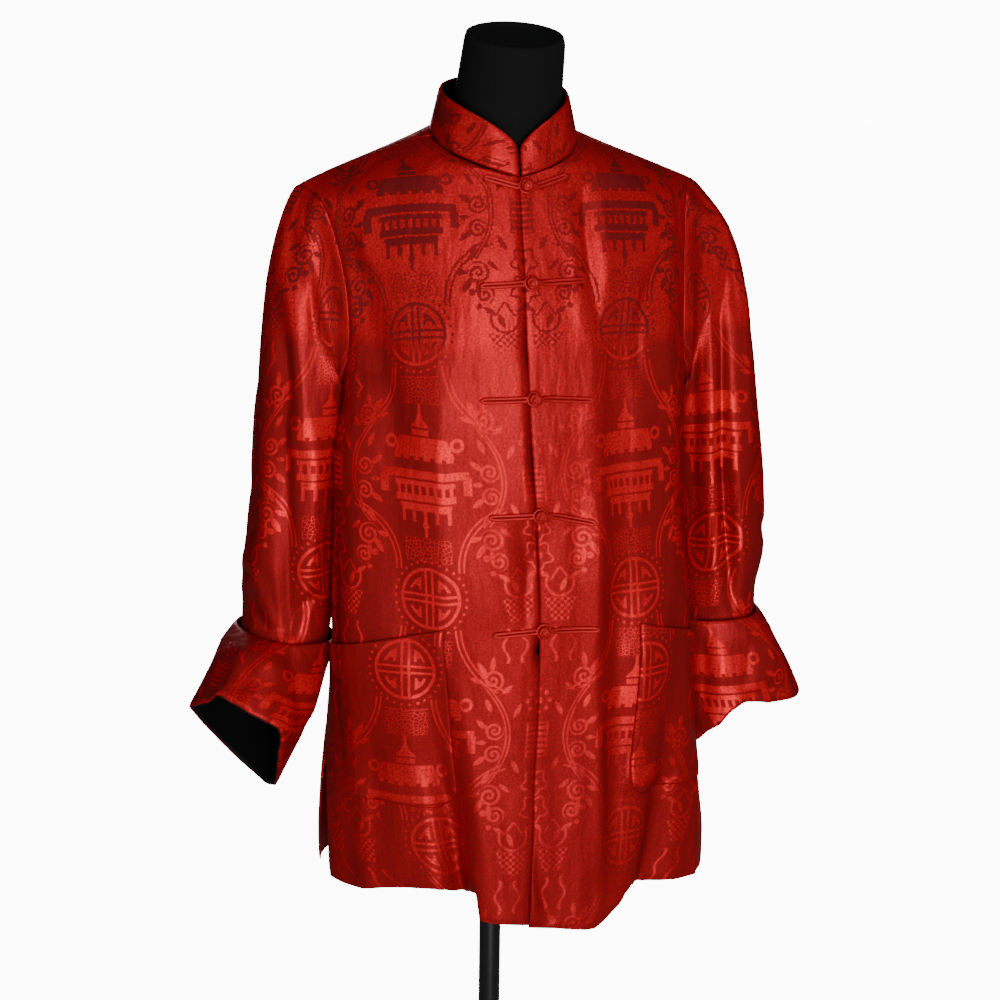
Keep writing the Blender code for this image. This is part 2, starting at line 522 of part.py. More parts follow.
def plan_sleeve(side, grids, normals):
    """Rings and normals of a sleeve; panels and sleeve get one mitred normal at the armhole."""
    sign = -1 if side == "right" else 1
    loop, facing = armhole_loop(grids, normals, side)
    grid = sleeve_grid(loop, facing, SLEEVE_RIGHT if sign < 0 else SLEEVE_LEFT, sign, CAP_FULLNESS[side])
    around = grid_normals(grid, tube_axis, wrap=True)
    around[0] = unit(around[0] + facing)
    first = BODY_LEVELS.index(UNDERARM_ROW)
    front_count = len(BODY_LEVELS) - first
    normals["front_" + side][first:, -1] = around[0][:front_count]
    back = normals["back_" + side]
    back[-1, -1] = around[0][front_count - 1]
    back[first + 1:-1, -1] = around[0][front_count:][::-1]
    back[first, -1] = around[0][0]
    return grid, around


def build_sleeve(side, grid, around):
    """A sleeve, its turned-back cuff and the lining that shows inside the cuff."""
    sign = -1 if side == "right" else 1
    cuff_rows = CUFF_RIGHT if sign < 0 else CUFF_LEFT
    cloth_solid("sleeve_" + side, grid.reshape(-1, 3), around.reshape(-1, 3),
                quads(*grid.shape[:2], wrap=True), CLOTH, "red_damask")
    cuff = ring_rows(cuff_rows, RING_COLUMNS, sign, 1.5)
    around = grid_normals(cuff, tube_axis, wrap=True)
    cloth_solid("cuff_" + side, cuff.reshape(-1, 3), around.reshape(-1, 3),
                quads(*cuff.shape[:2], wrap=True), CLOTH, "red_damask")
    around = around[CUFF_LINING_START:]
    inside = cuff[CUFF_LINING_START:] - around * (CLOTH / 2 + LAY * 3 + LINING / 2)
    cloth_solid("cuff_lining_" + side, inside.reshape(-1, 3), around.reshape(-1, 3),
                quads(*inside.shape[:2], wrap=True), LINING, "black_lining")


def collar_point(degrees, share):
    """Point of the stand collar: share 0 at the neckline seam, 1 at its top edge."""
    sign = 1 if degrees >= 0 else -1
    angle = abs(degrees)
    low = neckline(angle, sign)
    top = COLLAR_LOW + COLLAR_RISE * math.sin(math.radians(angle) / 2) ** 0.55
    lean = COLLAR_LEAN * share
    radial = np.array([low[0] - NECK_X, low[1] - NECK_Y])
    radial /= np.linalg.norm(radial)
    height = low[2] + SEAM * 3 + (top - low[2]) * share
    return np.array([low[0] - radial[0] * lean, low[1] - radial[1] * lean, height])


def build_collar():
    """The stand collar, open at the front, and the black lining inside it."""
    def axis(grid):
        middle = grid.copy()
        middle[..., 0], middle[..., 1] = NECK_X, NECK_Y
        return middle
    turned = [a if a < 180 else a - 360 for a in np.linspace(0.8, 359.2, 27)]
    grid = np.array([[collar_point(a, share) for a in turned] for share in (0, 0.33, 0.67, 1)])
    facing = grid_normals(grid, axis)
    cloth_solid("collar", grid.reshape(-1, 3), facing.reshape(-1, 3), quads(*grid.shape[:2]),
                COLLAR_WALL, "red_damask")
    inner = grid - facing * (COLLAR_WALL / 2 + LAY * 2 + LINING / 2)
    cloth_solid("collar_lining", inner.reshape(-1, 3), facing.reshape(-1, 3), quads(*inner.shape[:2]),
                LINING, "black_lining")


# ---------------------------------------------------------------- pieces on the fronts
def front_surface(side, place, level):
    """Point on the built points of a front and the normal there."""
    grid, facing = PANELS[0]["front_" + side], PANELS[1]["front_" + side]
    row = min(max(int(np.searchsorted(BODY_LEVELS, level, "right")) - 1, 0), len(BODY_LEVELS) - 2)
    column = min(max(int(np.searchsorted(PLACES, place, "right")) - 1, 0), len(PLACES) - 2)
    v = (level - BODY_LEVELS[row]) / (BODY_LEVELS[row + 1] - BODY_LEVELS[row])
    u = (place - PLACES[column]) / (PLACES[column + 1] - PLACES[column])
    mixed = []
    for field in (grid, facing):
        low = field[row, column] * (1 - u) + field[row, column + 1] * u
        high = field[row + 1, column] * (1 - u) + field[row + 1, column + 1] * u
        mixed.append(low * (1 - v) + high * v)
    return mixed[0], unit(mixed[1])


def front_spot(side, x, z):
    """Place and level on a front of the point over a given x and height."""
    sign = -1 if side == "right" else 1
    samples = np.linspace(0, 1, 57)
    level = float(np.interp(z, [row.z_in for row in FRONT_ROWS[:14]], range(14)))
    place = 0.0
    for _ in range(6):
        line = np.array([front_surface(side, s, level)[0] for s in samples])
        reach = np.maximum.accumulate(line[:, 0] * sign)
        place = float(np.interp(x * sign, reach, samples))
        height = front_surface(side, place, level)[0][2]
        above = front_surface(side, place, min(level + 0.05, 16))[0][2]
        level = min(max(level + (z - height) / max((above - height) / 0.05, 1e-4), 0.0), 15.9)
    return place, level


def build_pocket(pocket):
    """A patch pocket on a front, rounded at its lower corners, its mouth standing slightly open."""
    columns = [i for i, place in enumerate(PLACES) if pocket.first <= place <= pocket.last]
    rows = 9
    grid, facing = np.zeros((rows, len(columns), 3)), np.zeros((rows, len(columns), 3))
    middle_line = np.array([front_surface(pocket.side, PLACES[c], 4.5)[0] for c in columns])
    run = np.concatenate([[0], np.cumsum(np.linalg.norm(np.diff(middle_line, axis=0), axis=1))])
    for k, column in enumerate(columns):
        place = PLACES[column]
        across = run[k] / run[-1]
        edge = min(run[k], run[-1] - run[k])
        lift = pocket.corner * (1 - math.sqrt(max(1 - max(1 - edge / pocket.corner, 0.0) ** 2, 0.0)))
        heights = [row.z_in for row in FRONT_ROWS[:14]]
        low = float(np.interp(pocket.z_bottom + lift, heights, range(14)))
        high = float(np.interp(pocket.z_in + (pocket.z_out - pocket.z_in) * across, heights, range(14)))
        for r in range(rows):
            share = r / (rows - 1)
            point, normal = front_surface(pocket.side, place, low + (high - low) * share)
            gape = 0.0024 * max(share - 0.7, 0.0) / 0.3 * math.sin(math.pi * across)
            grid[r, k] = point + normal * (CLOTH + POCKET_LAY + gape)
            facing[r, k] = normal
    cloth_solid("pocket_" + pocket.side, grid.reshape(-1, 3), facing.reshape(-1, 3),
                quads(*grid.shape[:2]), CLOTH, "red_damask")


def sweep(name, path, ups, profiles, kind, closed=False):
    """Solid through one profile (side, up pairs) per point of a path that lies on the cloth."""
    rings = []
    count = len(path)
    for i, (point, up, profile) in enumerate(zip(path, ups, profiles)):
        before = path[i - 1] if i or closed else path[i]
        after = path[(i + 1) % count] if i < count - 1 or closed else path[i]
        along = after - before
        along /= np.linalg.norm(along)
        side = np.cross(up, along)
        side /= np.linalg.norm(side)
        rise = np.cross(along, side)
        rings.append([point + side * a + rise * b for a, b in profile])
    rings = np.array(rings)
    if closed:
        columns = rings.shape[1]
        faces = [(r * columns + c, r * columns + (c + 1) % columns,
                  ((r + 1) % count) * columns + (c + 1) % columns, ((r + 1) % count) * columns + c)
                 for r in range(count) for c in range(columns)]
        return mesh_object(name, rings.reshape(-1, 3), faces, kind)
    return tube_solid(name, rings, kind)


def double_cord():
    """Outline of two cords sewn side by side, flat underneath."""
    return [(-2.0, -0.7), (2.0, -0.7), (2.3, 0.0), (1.85, 0.75), (1.0, 0.9), (0.0, 0.35),
            (-1.0, 0.9), (-1.85, 0.75), (-2.3, 0.0)]


def join_bodies(name, pieces):
    """One body from pieces that overlap, with the first piece's material."""
    first = pieces[0]
    for other in pieces[1:]:
        union = first.modifiers.new("join", "BOOLEAN")
        union.operation = "UNION"
        union.object = other
    mesh = bpy.data.meshes.new_from_object(first.evaluated_get(bpy.context.evaluated_depsgraph_get()))
    work = bmesh.new()
    work.from_mesh(mesh)
    bmesh.ops.remove_doubles(work, verts=work.verts, dist=0.00003)
    bmesh.ops.dissolve_degenerate(work, edges=work.edges, dist=0.00001)
    work.to_mesh(mesh)
    work.free()
    mesh.materials.clear()
    mesh.materials.append(first.data.materials[0])
    made = bpy.data.objects.new(name, mesh)
    for piece in pieces:
        bpy.data.objects.remove(piece)
    JACKET.objects.link(made)
    return made


def build_frog(number, frog):
    """One frog: a bar ending in a loop on the right front, a bar ending in a ball knot on the left."""
    lift = CLOTH / 2 + LAY + CORD * 0.7 + (0.0006 if number == 1 else 0.0)
    opening = front_surface("right", *front_spot("right", -0.0045, frog.z))[0]
    centre_x = (opening[0] + front_surface("left", *front_spot("left", 0.0, frog.z))[0][0]) / 2
    middle, facing = front_surface("left", 0.0, front_spot("left", centre_x + 0.001, frog.z)[1])
    middle = middle + np.array([KNOT_SHIFT, 0.0, 0.0])
    loop_level = lift + CORD * 0.2
    bars = {}
    bar_profile = [(a * CORD * 0.95, b * CORD) for a, b in double_cord()]
    for side, sign, reach, rise, start in (
            ("right", -1, frog.reach_right, frog.rise_right, KNOT_RADIUS * 1.25),
            ("left", 1, frog.reach_left, frog.rise_left, KNOT_RADIUS * 1.25 + CORD * 2.4)):
        path, ups = [], []
        for i in range(7):
            share = i / 6
            x = middle[0] + sign * (start + (reach - start) * share)
            point, normal = front_surface(side, *front_spot(side, x, frog.z + rise * share))
            path.append(point + normal * lift)
            ups.append(normal)
        bars[side] = (path, ups)
    across = unit(np.cross(np.array([0.0, 0.0, 1.0]), facing))
    across *= 1 if across[0] > 0 else -1
    upright = np.cross(facing, across)
    upright *= 1 if upright[2] > 0 else -1
    loop_radius = KNOT_RADIUS + 0.0006
    path = [middle + facing * loop_level + across * math.cos(a) * loop_radius
            + upright * math.sin(a) * loop_radius for a in np.arange(12) * math.tau / 12]
    ring = [(math.cos(a) * CORD * 0.9, math.sin(a) * CORD * 0.9) for a in np.arange(5) * math.tau / 5]
    loop = sweep("frog_ring", path, [facing] * len(path), [ring] * len(path), "red_cord", closed=True)
    bar = sweep("frog_bar", *bars["right"], [bar_profile] * 7, "red_cord")
    join_bodies("frog_%d_loop" % number, [bar, loop])
    round_profile = [(math.cos(a), math.sin(a)) for a in np.radians(250 + 40 * np.arange(9))]
    path, ups = [list(part[::-1]) for part in bars["left"]]
    profiles = [bar_profile] * len(path)
    path.append(middle + facing * (loop_level + CORD * 1.7 + 0.0003) + across * (loop_radius + CORD))
    profiles.append([(a * CORD * 0.8, b * CORD * 0.8) for a, b in round_profile])
    ball = middle + facing * (loop_level + CORD * 0.9 + KNOT_RADIUS * 0.62)
    for degrees in (32, 62, 90, 118, 148, 170):
        turn = math.radians(degrees)
        path.append(ball + across * KNOT_RADIUS * math.cos(turn))
        wide = KNOT_RADIUS * math.sin(turn)
        profiles.append([(a * wide, b * wide * 0.85) for a, b in round_profile])
    ups += [facing] * 7
    sweep("frog_%d_knot" % number, path, ups, profiles, "red_cord")


# ---------------------------------------------------------------- dress form and stand
def form_ring(row, count, scale=1.0, drop=0.0):
    """Points round one ring of the form, flatter or deeper in front than behind."""
    outline = superellipse(count, 1.0, 1.0, row.square)
    tilt = math.tan(math.radians(row.tilt))
    ring = []
    for a, b in outline:
        depth = row.back if b > 0 else row.front
        y = b * depth * scale
        ring.append((row.x + a * row.half_width * scale, row.y + y, row.z + y * tilt - drop))
    return ring


def build_form():
    """Limbless torso and neck in one body, with a shallow recess in the top of the neck."""
    rings = [form_ring(Form(*[smooth_between(FORM_RINGS, name, level) for name in Form._fields]), 24)
             for level in levels_between(0, len(FORM_RINGS) - 2, 1.4)]
    top = FORM_RINGS[-1]
    inner = 1.0 - RIM_WIDTH / top.half_width
    rings += [form_ring(top, 24), form_ring(top, 24, inner), form_ring(top, 24, inner - 0.02, RECESS)]
    tube_solid("dress_form", rings, "black_jersey")


def cylinder(name, radius, low, high, sides, kind, edge):
    """Upright cylinder with slightly rounded rims, drawn as a profile and turned round."""
    mesh = bpy.data.meshes.new(name)
    profile = [(0.0, low), (radius - edge, low), (radius, low + edge), (radius, high - edge),
               (radius - edge, high), (0.0, high)]
    mesh.from_pydata([(x, 0.0, z) for x, z in profile], [(i, i + 1) for i in range(5)], [])
    made = bpy.data.objects.new(name, mesh)
    JACKET.objects.link(made)
    turn = made.modifiers.new("turn", "SCREW")
    turn.axis = "Z"
    turn.steps = sides
    turn.render_steps = sides
    turn.use_merge_vertices = True
    turn.merge_threshold = 0.00001
    turn.use_normal_calculate = True
    mesh.materials.append(material_for(name, kind))
    return made


for old in list(bpy.data.objects):
    bpy.data.objects.remove(old)
JACKET = new_collection("tang_jacket_on_dress_form")

PANELS = body_panels()
SLEEVES = {side: plan_sleeve(side, *PANELS) for side in ("right", "left")}
build_body(*PANELS)
for worn_side, planned in SLEEVES.items():
    build_sleeve(worn_side, *planned)
build_collar()
for pocket_row in POCKETS:
    build_pocket(pocket_row)
for frog_number, frog_row in enumerate(FROGS, 1):
    build_frog(frog_number, frog_row)
build_form()
cylinder("pole", POLE_RADIUS, BASE_THICK + 0.0003, FORM_BOTTOM - 0.0003, 24, "black_metal", 0.0005)
cylinder("base", BASE_RADIUS, 0.0, BASE_THICK, 48, "black_metal", 0.003)
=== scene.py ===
"""Looks of a tang jacket worn on a limbless dress form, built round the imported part.

Metres, +Z up, the jacket's front faces -Y.  Left and right are the wearer's: the right front is on -X.
Size tables are written in millimetres and degrees, and read_table turns their lengths into metres.
"""

import logging
import math
from collections.abc import Iterable, Sequence
from dataclasses import dataclass, field, replace
from enum import Enum
from functools import cache, partialmethod, reduce
from typing import NamedTuple

import bmesh
import bpy
import numpy as np
from bpy.types import Material, Node, NodeSocket, NodeTree, Object
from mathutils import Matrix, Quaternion, Vector
from numpy import ndarray


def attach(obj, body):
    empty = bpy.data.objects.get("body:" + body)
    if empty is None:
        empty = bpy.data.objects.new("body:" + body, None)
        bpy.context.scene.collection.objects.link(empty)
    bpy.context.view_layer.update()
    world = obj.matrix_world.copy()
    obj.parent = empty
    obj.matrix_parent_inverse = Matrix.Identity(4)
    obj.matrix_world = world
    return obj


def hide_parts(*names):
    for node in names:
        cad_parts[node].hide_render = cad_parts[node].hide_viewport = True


log = logging.getLogger("jacket")

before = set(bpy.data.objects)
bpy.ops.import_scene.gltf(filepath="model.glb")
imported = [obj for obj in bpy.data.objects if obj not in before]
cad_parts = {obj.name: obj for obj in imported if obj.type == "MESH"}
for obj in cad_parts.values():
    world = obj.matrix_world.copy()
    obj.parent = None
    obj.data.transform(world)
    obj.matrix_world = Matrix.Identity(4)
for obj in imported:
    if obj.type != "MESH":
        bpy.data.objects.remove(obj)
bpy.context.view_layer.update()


# ---------- driving sizes
MM = 1000.0  # millimetres in a metre
CLOTH = 0.0016  # quilted thickness of shell cloth with its interlining
LINING = 0.0010  # lining cloth inside the collar and the cuffs
SEAM = 0.0004  # space left where two sewn pieces meet
LAY = 0.0005  # space under a piece that lies on another
CORD = 0.0017  # radius of the cord the frogs are tied from
SEAM_HOLD = 0.020  # creases die out this close to a seam
EDGE_DROP = 0.0006  # how far a sewn edge is rolled inward
EDGE_REACH = 0.0025  # and how far from the edge that is felt
CREASE_SIGHT = 2.2, 0.1  # how fast a crease fades where the cloth turns away, and what is left of it edge-on
CREASE_FLANK = 1.7  # how its sides fall away; 2 is a bell
SIDES = (("right", -1), ("left", 1))

NECK_X, NECK_Y = -0.0028, -0.025  # middle of the neckline
NECK_HALF_WIDTH = 0.0738
NECK_FRONT, NECK_BACK = 0.078, 0.070  # depths of the neckline from its middle
NECK_LOW = 1.374  # neckline height at the opening
NECK_RISE = 0.051  # rise from the opening to the nape
NECK_CURVE = 1.2  # how late it rises
CHEST = 1.28  # the middle line of the trunk ends at this height

LEVEL_CUTS = 6  # dense rows per built row
PLACE_CUTS = 8  # dense columns per built column
TUBE_CUTS = 4  # dense rings per built ring
HEM_LEVELS = (0.02, 0.045, 0.08, 0.12)
UNDERARM_ROW = 8  # the armhole starts at this level
SLIT_ROW = 3  # front and back part below this level
NECK_ROW = 13  # the neckline starts at this level and runs round to the shoulder seam
TOP_ROW = 16
FOLD_FADE, SAG_FADE, HEM_FADE = 1.3, 3, 2.5  # how fast folds, their sag and the uneven hem die out upwards


class Facing(Enum):
    """The way a crease is seen: axis it is drawn across, axis that looks at it, and that axis' sign."""

    FRONT = (0, 1, -1.0)
    BACK = (0, 1, 1.0)
    RIGHT = (1, 0, -1.0)
    LEFT = (1, 0, 1.0)


class Kind(Enum):
    """Materials of the object."""

    SHELL = "shell_cloth"
    LINING = "lining"
    CORD = "cord"
    JERSEY = "jersey"
    METAL = "stand_metal"


def row_type(name: str, columns: str) -> type:
    """Type of a table's row, a tuple of numbers in named columns."""
    return NamedTuple(name, [(column, float) for column in columns.split()])


# One level of a front or of half the back, from its middle line to its outer edge.  neck: angle round the
# neckline; flat: how far the cloth runs flat before it turns; turn: handle of the turn into the side;
# cut: share of the line kept, the armhole taking the rest; fall: how late the line drops outwards.
Level = row_type("Level", "z_in x_in y_in neck z_right z_left x_right x_left y_out flat turn_right turn_left "
                          "turn_y cut fall_right fall_left")
# Soft upright fold of a panel.  place: 0 opening or back line, 1 side edge; drift: how far the fold moves
# by the hem; depth: outward; sag: how far it lifts the hem; row_high: level it runs up to.
Fold = row_type("Fold", "place drift width depth sag row_high")
# One ring of a sleeve or cuff: its middle, half sizes, and how its axis leans and it spins about it.
Ring = row_type("Ring", "x y z half_out half_fore lean_out lean_fore spin square")
# One ring of the dress form; x and y are its middle.
Form = row_type("Form", "z x y half_width front back square tilt")
# A line pressed into the cloth, drawn in the plane it faces; bow bends it.
Crease = row_type("Crease", "across_a z_a across_b z_b bow width depth")
Rows = list[tuple]


def read_table(kind: type, rows: Iterable[tuple], plain: str = "") -> Rows:
    """Typed rows of a size table, with all columns but the plain ones turned from millimetres to metres."""
    return [kind(*[value if name in plain.split() else value / MM for name, value in zip(kind._fields, row)])
            for row in rows]


# Hem to shoulder.
LEVEL_PLAIN = "neck flat cut fall_right fall_left"
FRONT_ROWS = read_table(Level, (
    (617, 2, -168, 0, 640, 622, -183, 222, -45, 0.46, -16, -16, 52, 1, 0.8, 0.8),
    (660, 3, -167, 0, 677, 664, -184, 223, -43, 0.48, -14, -14, 54, 1, 0.8, 0.8),
    (720, 5, -166, 0, 730, 720, -184, 216, -37, 0.52, -10, 0, 58, 1, 0.8, 1),
    (780, 6, -165, 0, 785, 780, -182, 200, -22, 0.58, 4, 30, 70, 1, 1, 1),
    (860, 9, -165, 0, 860, 860, -171, 185, -18, 0.66, 42, 46, 85, 1, 1, 1),
    (940, 9, -165, 0, 938, 938, -162, 174, -6, 0.72, 68, 62, 92, 1, 1, 1),
    (1030, 5, -164, 0, 1026, 1026, -156, 167, 6, 0.73, 78, 64, 94, 1, 1, 1),
    (1100, 0, -161, 0, 1092, 1092, -154, 165, 8, 0.72, 76, 62, 94, 1, 1.1, 1.1),
    (1150, -3, -157, 0, 1136, 1136, -150, 169, 0, 0.71, 64, 52, 92, 1, 1.2, 1.2),
    (1190, -4, -152, 0, 1168, 1168, -156, 176, 2, 0.69, 46, 38, 90, 0.82, 1.3, 1.3),
    (1235, -5, -145, 0, 1205, 1205, -164, 182, 4, 0.66, 30, 30, 86, 0.73, 1.3, 1.3),
    (1285, -5, -134, 0, 1256, 1256, -175, 190, 6, 0.62, 22, 22, 78, 0.7, 1.3, 1.3),
    (1335, -5, -119, 0, 1312, 1312, -188, 196, 6, 0.56, 12, 12, 66, 0.74, 1.3, 1.3),
    (1374, -4, -103, 0, 1341, 1343, -200, 200, -2, 0.48, 0, 0, 50, 0.8, 1.3, 1.2),
    (1374, -4, -103, 32, 1350, 1353, -206, 202, -1, 0.4, -16, -16, 32, 0.88, 1.3, 1.15),
    (1374, -4, -103, 62, 1355, 1358, -208, 203, 0, 0.35, -32, -32, 14, 0.95, 1.3, 1.15),
    (1374, -4, -103, 90, 1357, 1359, -208, 203, 2, 0.33, -44, -44, 0, 1, 1.3, 1.1),
), LEVEL_PLAIN)
BACK_ROWS = read_table(Level, (
    (618, 12, 140, 180, 646, 610, -188, 224, -10, 0.55, -10, -10, -70, 1, 0.8, 0.8),
    (660, 12, 138, 180, 684, 656, -189, 224, -12, 0.55, -8, -8, -70, 1, 0.8, 0.8),
    (720, 12, 135, 180, 734, 718, -187, 222, -15, 0.56, -6, -6, -70, 1, 1, 1),
    (780, 12, 131, 180, 785, 780, -182, 200, -22, 0.58, 0, -12, -70, 1, 1, 1),
    (860, 12, 127, 180, 860, 860, -171, 185, -18, 0.58, -24, -17, -64, 1, 1, 1),
    (940, 11, 124, 180, 938, 938, -162, 174, -6, 0.58, -36, -34, -60, 1, 1, 1),
    (1030, 9, 122, 180, 1026, 1026, -156, 167, 6, 0.58, -36, -34, -58, 1, 1, 1),
    (1100, 6, 123, 180, 1092, 1092, -154, 165, 8, 0.58, -36, -34, -60, 1, 1.1, 1.1),
    (1150, 3, 125, 180, 1136, 1136, -150, 169, 0, 0.58, -34, -34, -63, 1, 1.2, 1.2),
    (1205, 1, 126, 180, 1168, 1168, -156, 176, 2, 0.59, -28, -22, -70, 0.82, 1.3, 1.3),
    (1265, -1, 122, 180, 1206, 1206, -164, 182, 4, 0.6, -10, -10, -74, 0.72, 1.3, 1.3),
    (1328, -3, 108, 180, 1256, 1256, -175, 190, 6, 0.6, 0, 0, -72, 0.7, 1.2, 1.2),
    (1385, -3, 80, 180, 1312, 1312, -188, 196, 6, 0.56, 0, 0, -60, 0.74, 1, 1),
    (1425, -3.5, 45, 180, 1341, 1343, -200, 200, 14, 0.48, -6, -6, -44, 0.8, 0.85, 0.85),
    (1425, -3, 45, 148, 1350, 1353, -206, 202, 10, 0.42, -20, -20, -28, 0.88, 0.8, 0.8),
    (1425, -3, 45, 118, 1355, 1358, -208, 203, 6, 0.36, -34, -34, -12, 0.95, 0.95, 0.9),
    (1425, -3, 45, 90, 1357, 1359, -208, 203, 2, 0.33, -44, -44, 0, 1, 1.3, 1.1),
), LEVEL_PLAIN)

FOLDS = {piece: read_table(Fold, rows, "place drift width row_high") for piece, rows in {
    "front_right": (
        (0.36, -0.08, 0.05, -28, 4, 5.5), (0.16, -0.02, 0.08, 4, 0, 6), (0.5, 0, 0.18, 0, 20, 5),
        (0.66, 0.02, 0.07, 6, 0, 6),
    ),
    "front_left": (
        (0.52, 0, 0.08, -26, 8, 5.5), (0.26, 0, 0.12, 4, -12, 5), (0.76, 0, 0.06, 6, 0, 6),
    ),
    "back": (
        (0.45, 0, 0.06, -12, 0, 7), (-0.5, 0, 0.06, -12, 0, 7), (0.05, 0, 0.08, 7, 0, 7),
    ),
}.items()}

# How far the hem of a front is lifted at each place across it.
HEM_LIFT = {
    "front_right": (
        (0, 0), (0.175, -2), (0.203, -3), (0.212, 24), (0.235, 19), (0.27, 9), (0.305, 8.5), (0.34, 12.5),
        (0.38, 10), (0.42, 5), (0.46, 0.5), (0.5, -2), (0.54, -3.5), (0.58, -3), (0.62, -1.5), (0.68, 0),
        (1, 0),
    ),
    "front_left": (
        (0, -2), (0.06, -4), (0.13, -5), (0.2, -3), (0.235, -1), (0.27, 6), (0.305, 11.5), (0.34, 14.5),
        (0.38, 19), (0.42, 20), (0.46, 12), (0.5, 5), (0.54, 3), (0.58, 6), (0.62, 9), (0.74, 9), (0.82, 6),
        (1, 4),
    ),
}

# Rings of a sleeve below the armhole, and of a cuff down to its mouth.
RING_PLAIN = "lean_out lean_fore spin square"
SLEEVE_RIGHT = read_table(Ring, (
    (-203.6, 15, 1100, 47, 66, 3, 0, 0, 2.2), (-206.8, 13, 1030, 48, 66, 4, 2, 0, 2.2),
    (-214.5, 12, 965, 48, 62, 5, 6, 6, 2.2), (-217.5, 10, 920, 44, 56, 5, 6, 10, 2.1),
    (-223, 2, 890, 41.5, 50, 12, 12, 14, 2.1), (-233, -14, 866, 40, 46, 22, 22, 18, 2),
), RING_PLAIN)
SLEEVE_LEFT = read_table(Ring, (
    (230, 18, 1100, 50.5, 70, 3, 0, 0, 2.2), (238.5, 18, 1030, 51, 66, 4, 0, 0, 2.2),
    (244, 15, 965, 50, 62, 2, 2, 0, 2.2), (240.5, 9, 920, 45, 56, 3, 2, 0, 2.1),
    (243, 3, 885, 42.5, 50, 8, 6, 0, 2.1), (250, -4, 857, 42, 46, 16, 10, 0, 2),
), RING_PLAIN)
CUFF_RIGHT = read_table(Ring, (
    (-220, 6, 896, 49.5, 62, 5, 0, 10, 2.2), (-235, -10, 874, 51.5, 61, 18, 16, 18, 2.2),
    (-249, -37, 850, 54, 59, 32, 30, 20, 2.2), (-266, -62, 826, 54.5, 57, 41, 38, 18, 2.3),
    (-283.5, -88, 806, 53, 55, 45, 44, 14, 2.5),
), RING_PLAIN)
CUFF_LEFT = read_table(Ring, (
    (238.5, 6, 898, 49.5, 61, 3, 0, 0, 2.2), (246, 0, 874, 53, 59, 10, 6, 0, 2.3),
    (255, -8, 845, 58, 55, 18, 11, 0, 2.3), (264, -15, 815, 63, 50, 23, 14, 0, 2.3),
    (272, -22, 785, 65, 46, 25, 16, 0, 2.3),
), RING_PLAIN)
# How far the mouth of a cuff is pulled out of round, across and up, going round it.
MOUTH_RIGHT = (
    (0.1, -9.5), (-4.5, -11), (-8.7, -3.9), (-10.6, 3.2), (-9, 10.2), (-3, 13.9), (4, 12.6), (2.1, 7.7),
    (-0.8, 6.6), (-0.4, 6.6), (-0.6, 8.5), (-4.5, 15.2), (-2.5, 5.9), (-2.2, 3.8), (-3.3, 4.8), (3.3, 4),
    (7.6, 4.2), (11.6, 2.9), (12.6, 4.5), (12.6, 5), (12.9, 2.8), (11.8, 0.9), (9.3, -1.5), (6.4, -5.8),
)
MOUTH_LEFT = (
    (-0.3, -0.2), (-0.3, -1.1), (-2.2, 0.6), (-2.5, 4.7), (-2.1, 5.9), (-6.3, 12.4), (-9.6, 14.2),
    (-13.1, 5.9), (-14, -2.7), (-9.4, -7.2), (-4.7, -10.2), (0.5, -10.6), (4, -5.9), (5.4, 0.8), (2.8, 5.2),
    (-0.5, 8.1), (-0.1, 9), (0.2, 8.1), (-0.5, 8.4), (-0.5, 6.6), (-0.5, 2.9), (-0.4, 1.4), (-0.3, -0.3),
    (0.6, -0.1),
)

# Hip to neck rim.
FORM_RINGS = read_table(Form, (
    (735, 4, 0, 140, 92, 94, 2.2, 0), (742, 6, 0, 148, 104, 98, 2.2, 0), (765, 6, 0, 154, 112, 103, 2.2, 0),
    (820, 6, 0, 149, 110, 100, 2.2, 0), (900, 6, 0, 134, 100, 92, 2.2, 0), (980, 4, 0, 122, 92, 88, 2.2, 0),
    (1060, 6, 0, 122, 98, 86, 2.1, 0), (1130, 6, -2, 131, 114, 92, 2.1, 0),
    (1190, 6, -2, 142, 118, 100, 2.1, 0), (1250, 4, 0, 158, 108, 106, 2.2, 0),
    (1300, 2, 0, 166, 90, 98, 2.2, 0), (1335, 0, 0, 160, 70, 82, 2.1, 0), (1358, -2, 0, 138, 58, 68, 2, 0),
    (1374, -3, -4, 112, 56, 58, 2, 0), (1387, -3, -12, 86, 56, 56, 2, 0), (1402, -1, -22, 66, 60, 58, 2, 0),
    (1425, -1, -26, 56, 57, 55, 2, 3), (1465, 2.5, -30, 53, 54, 52, 2, 8),
    (1503, 5.5, -34, 50.5, 51, 50, 2, 12), (1508, 5.5, -34.5, 49, 49.5, 48.5, 2, 12),
), "square tilt")

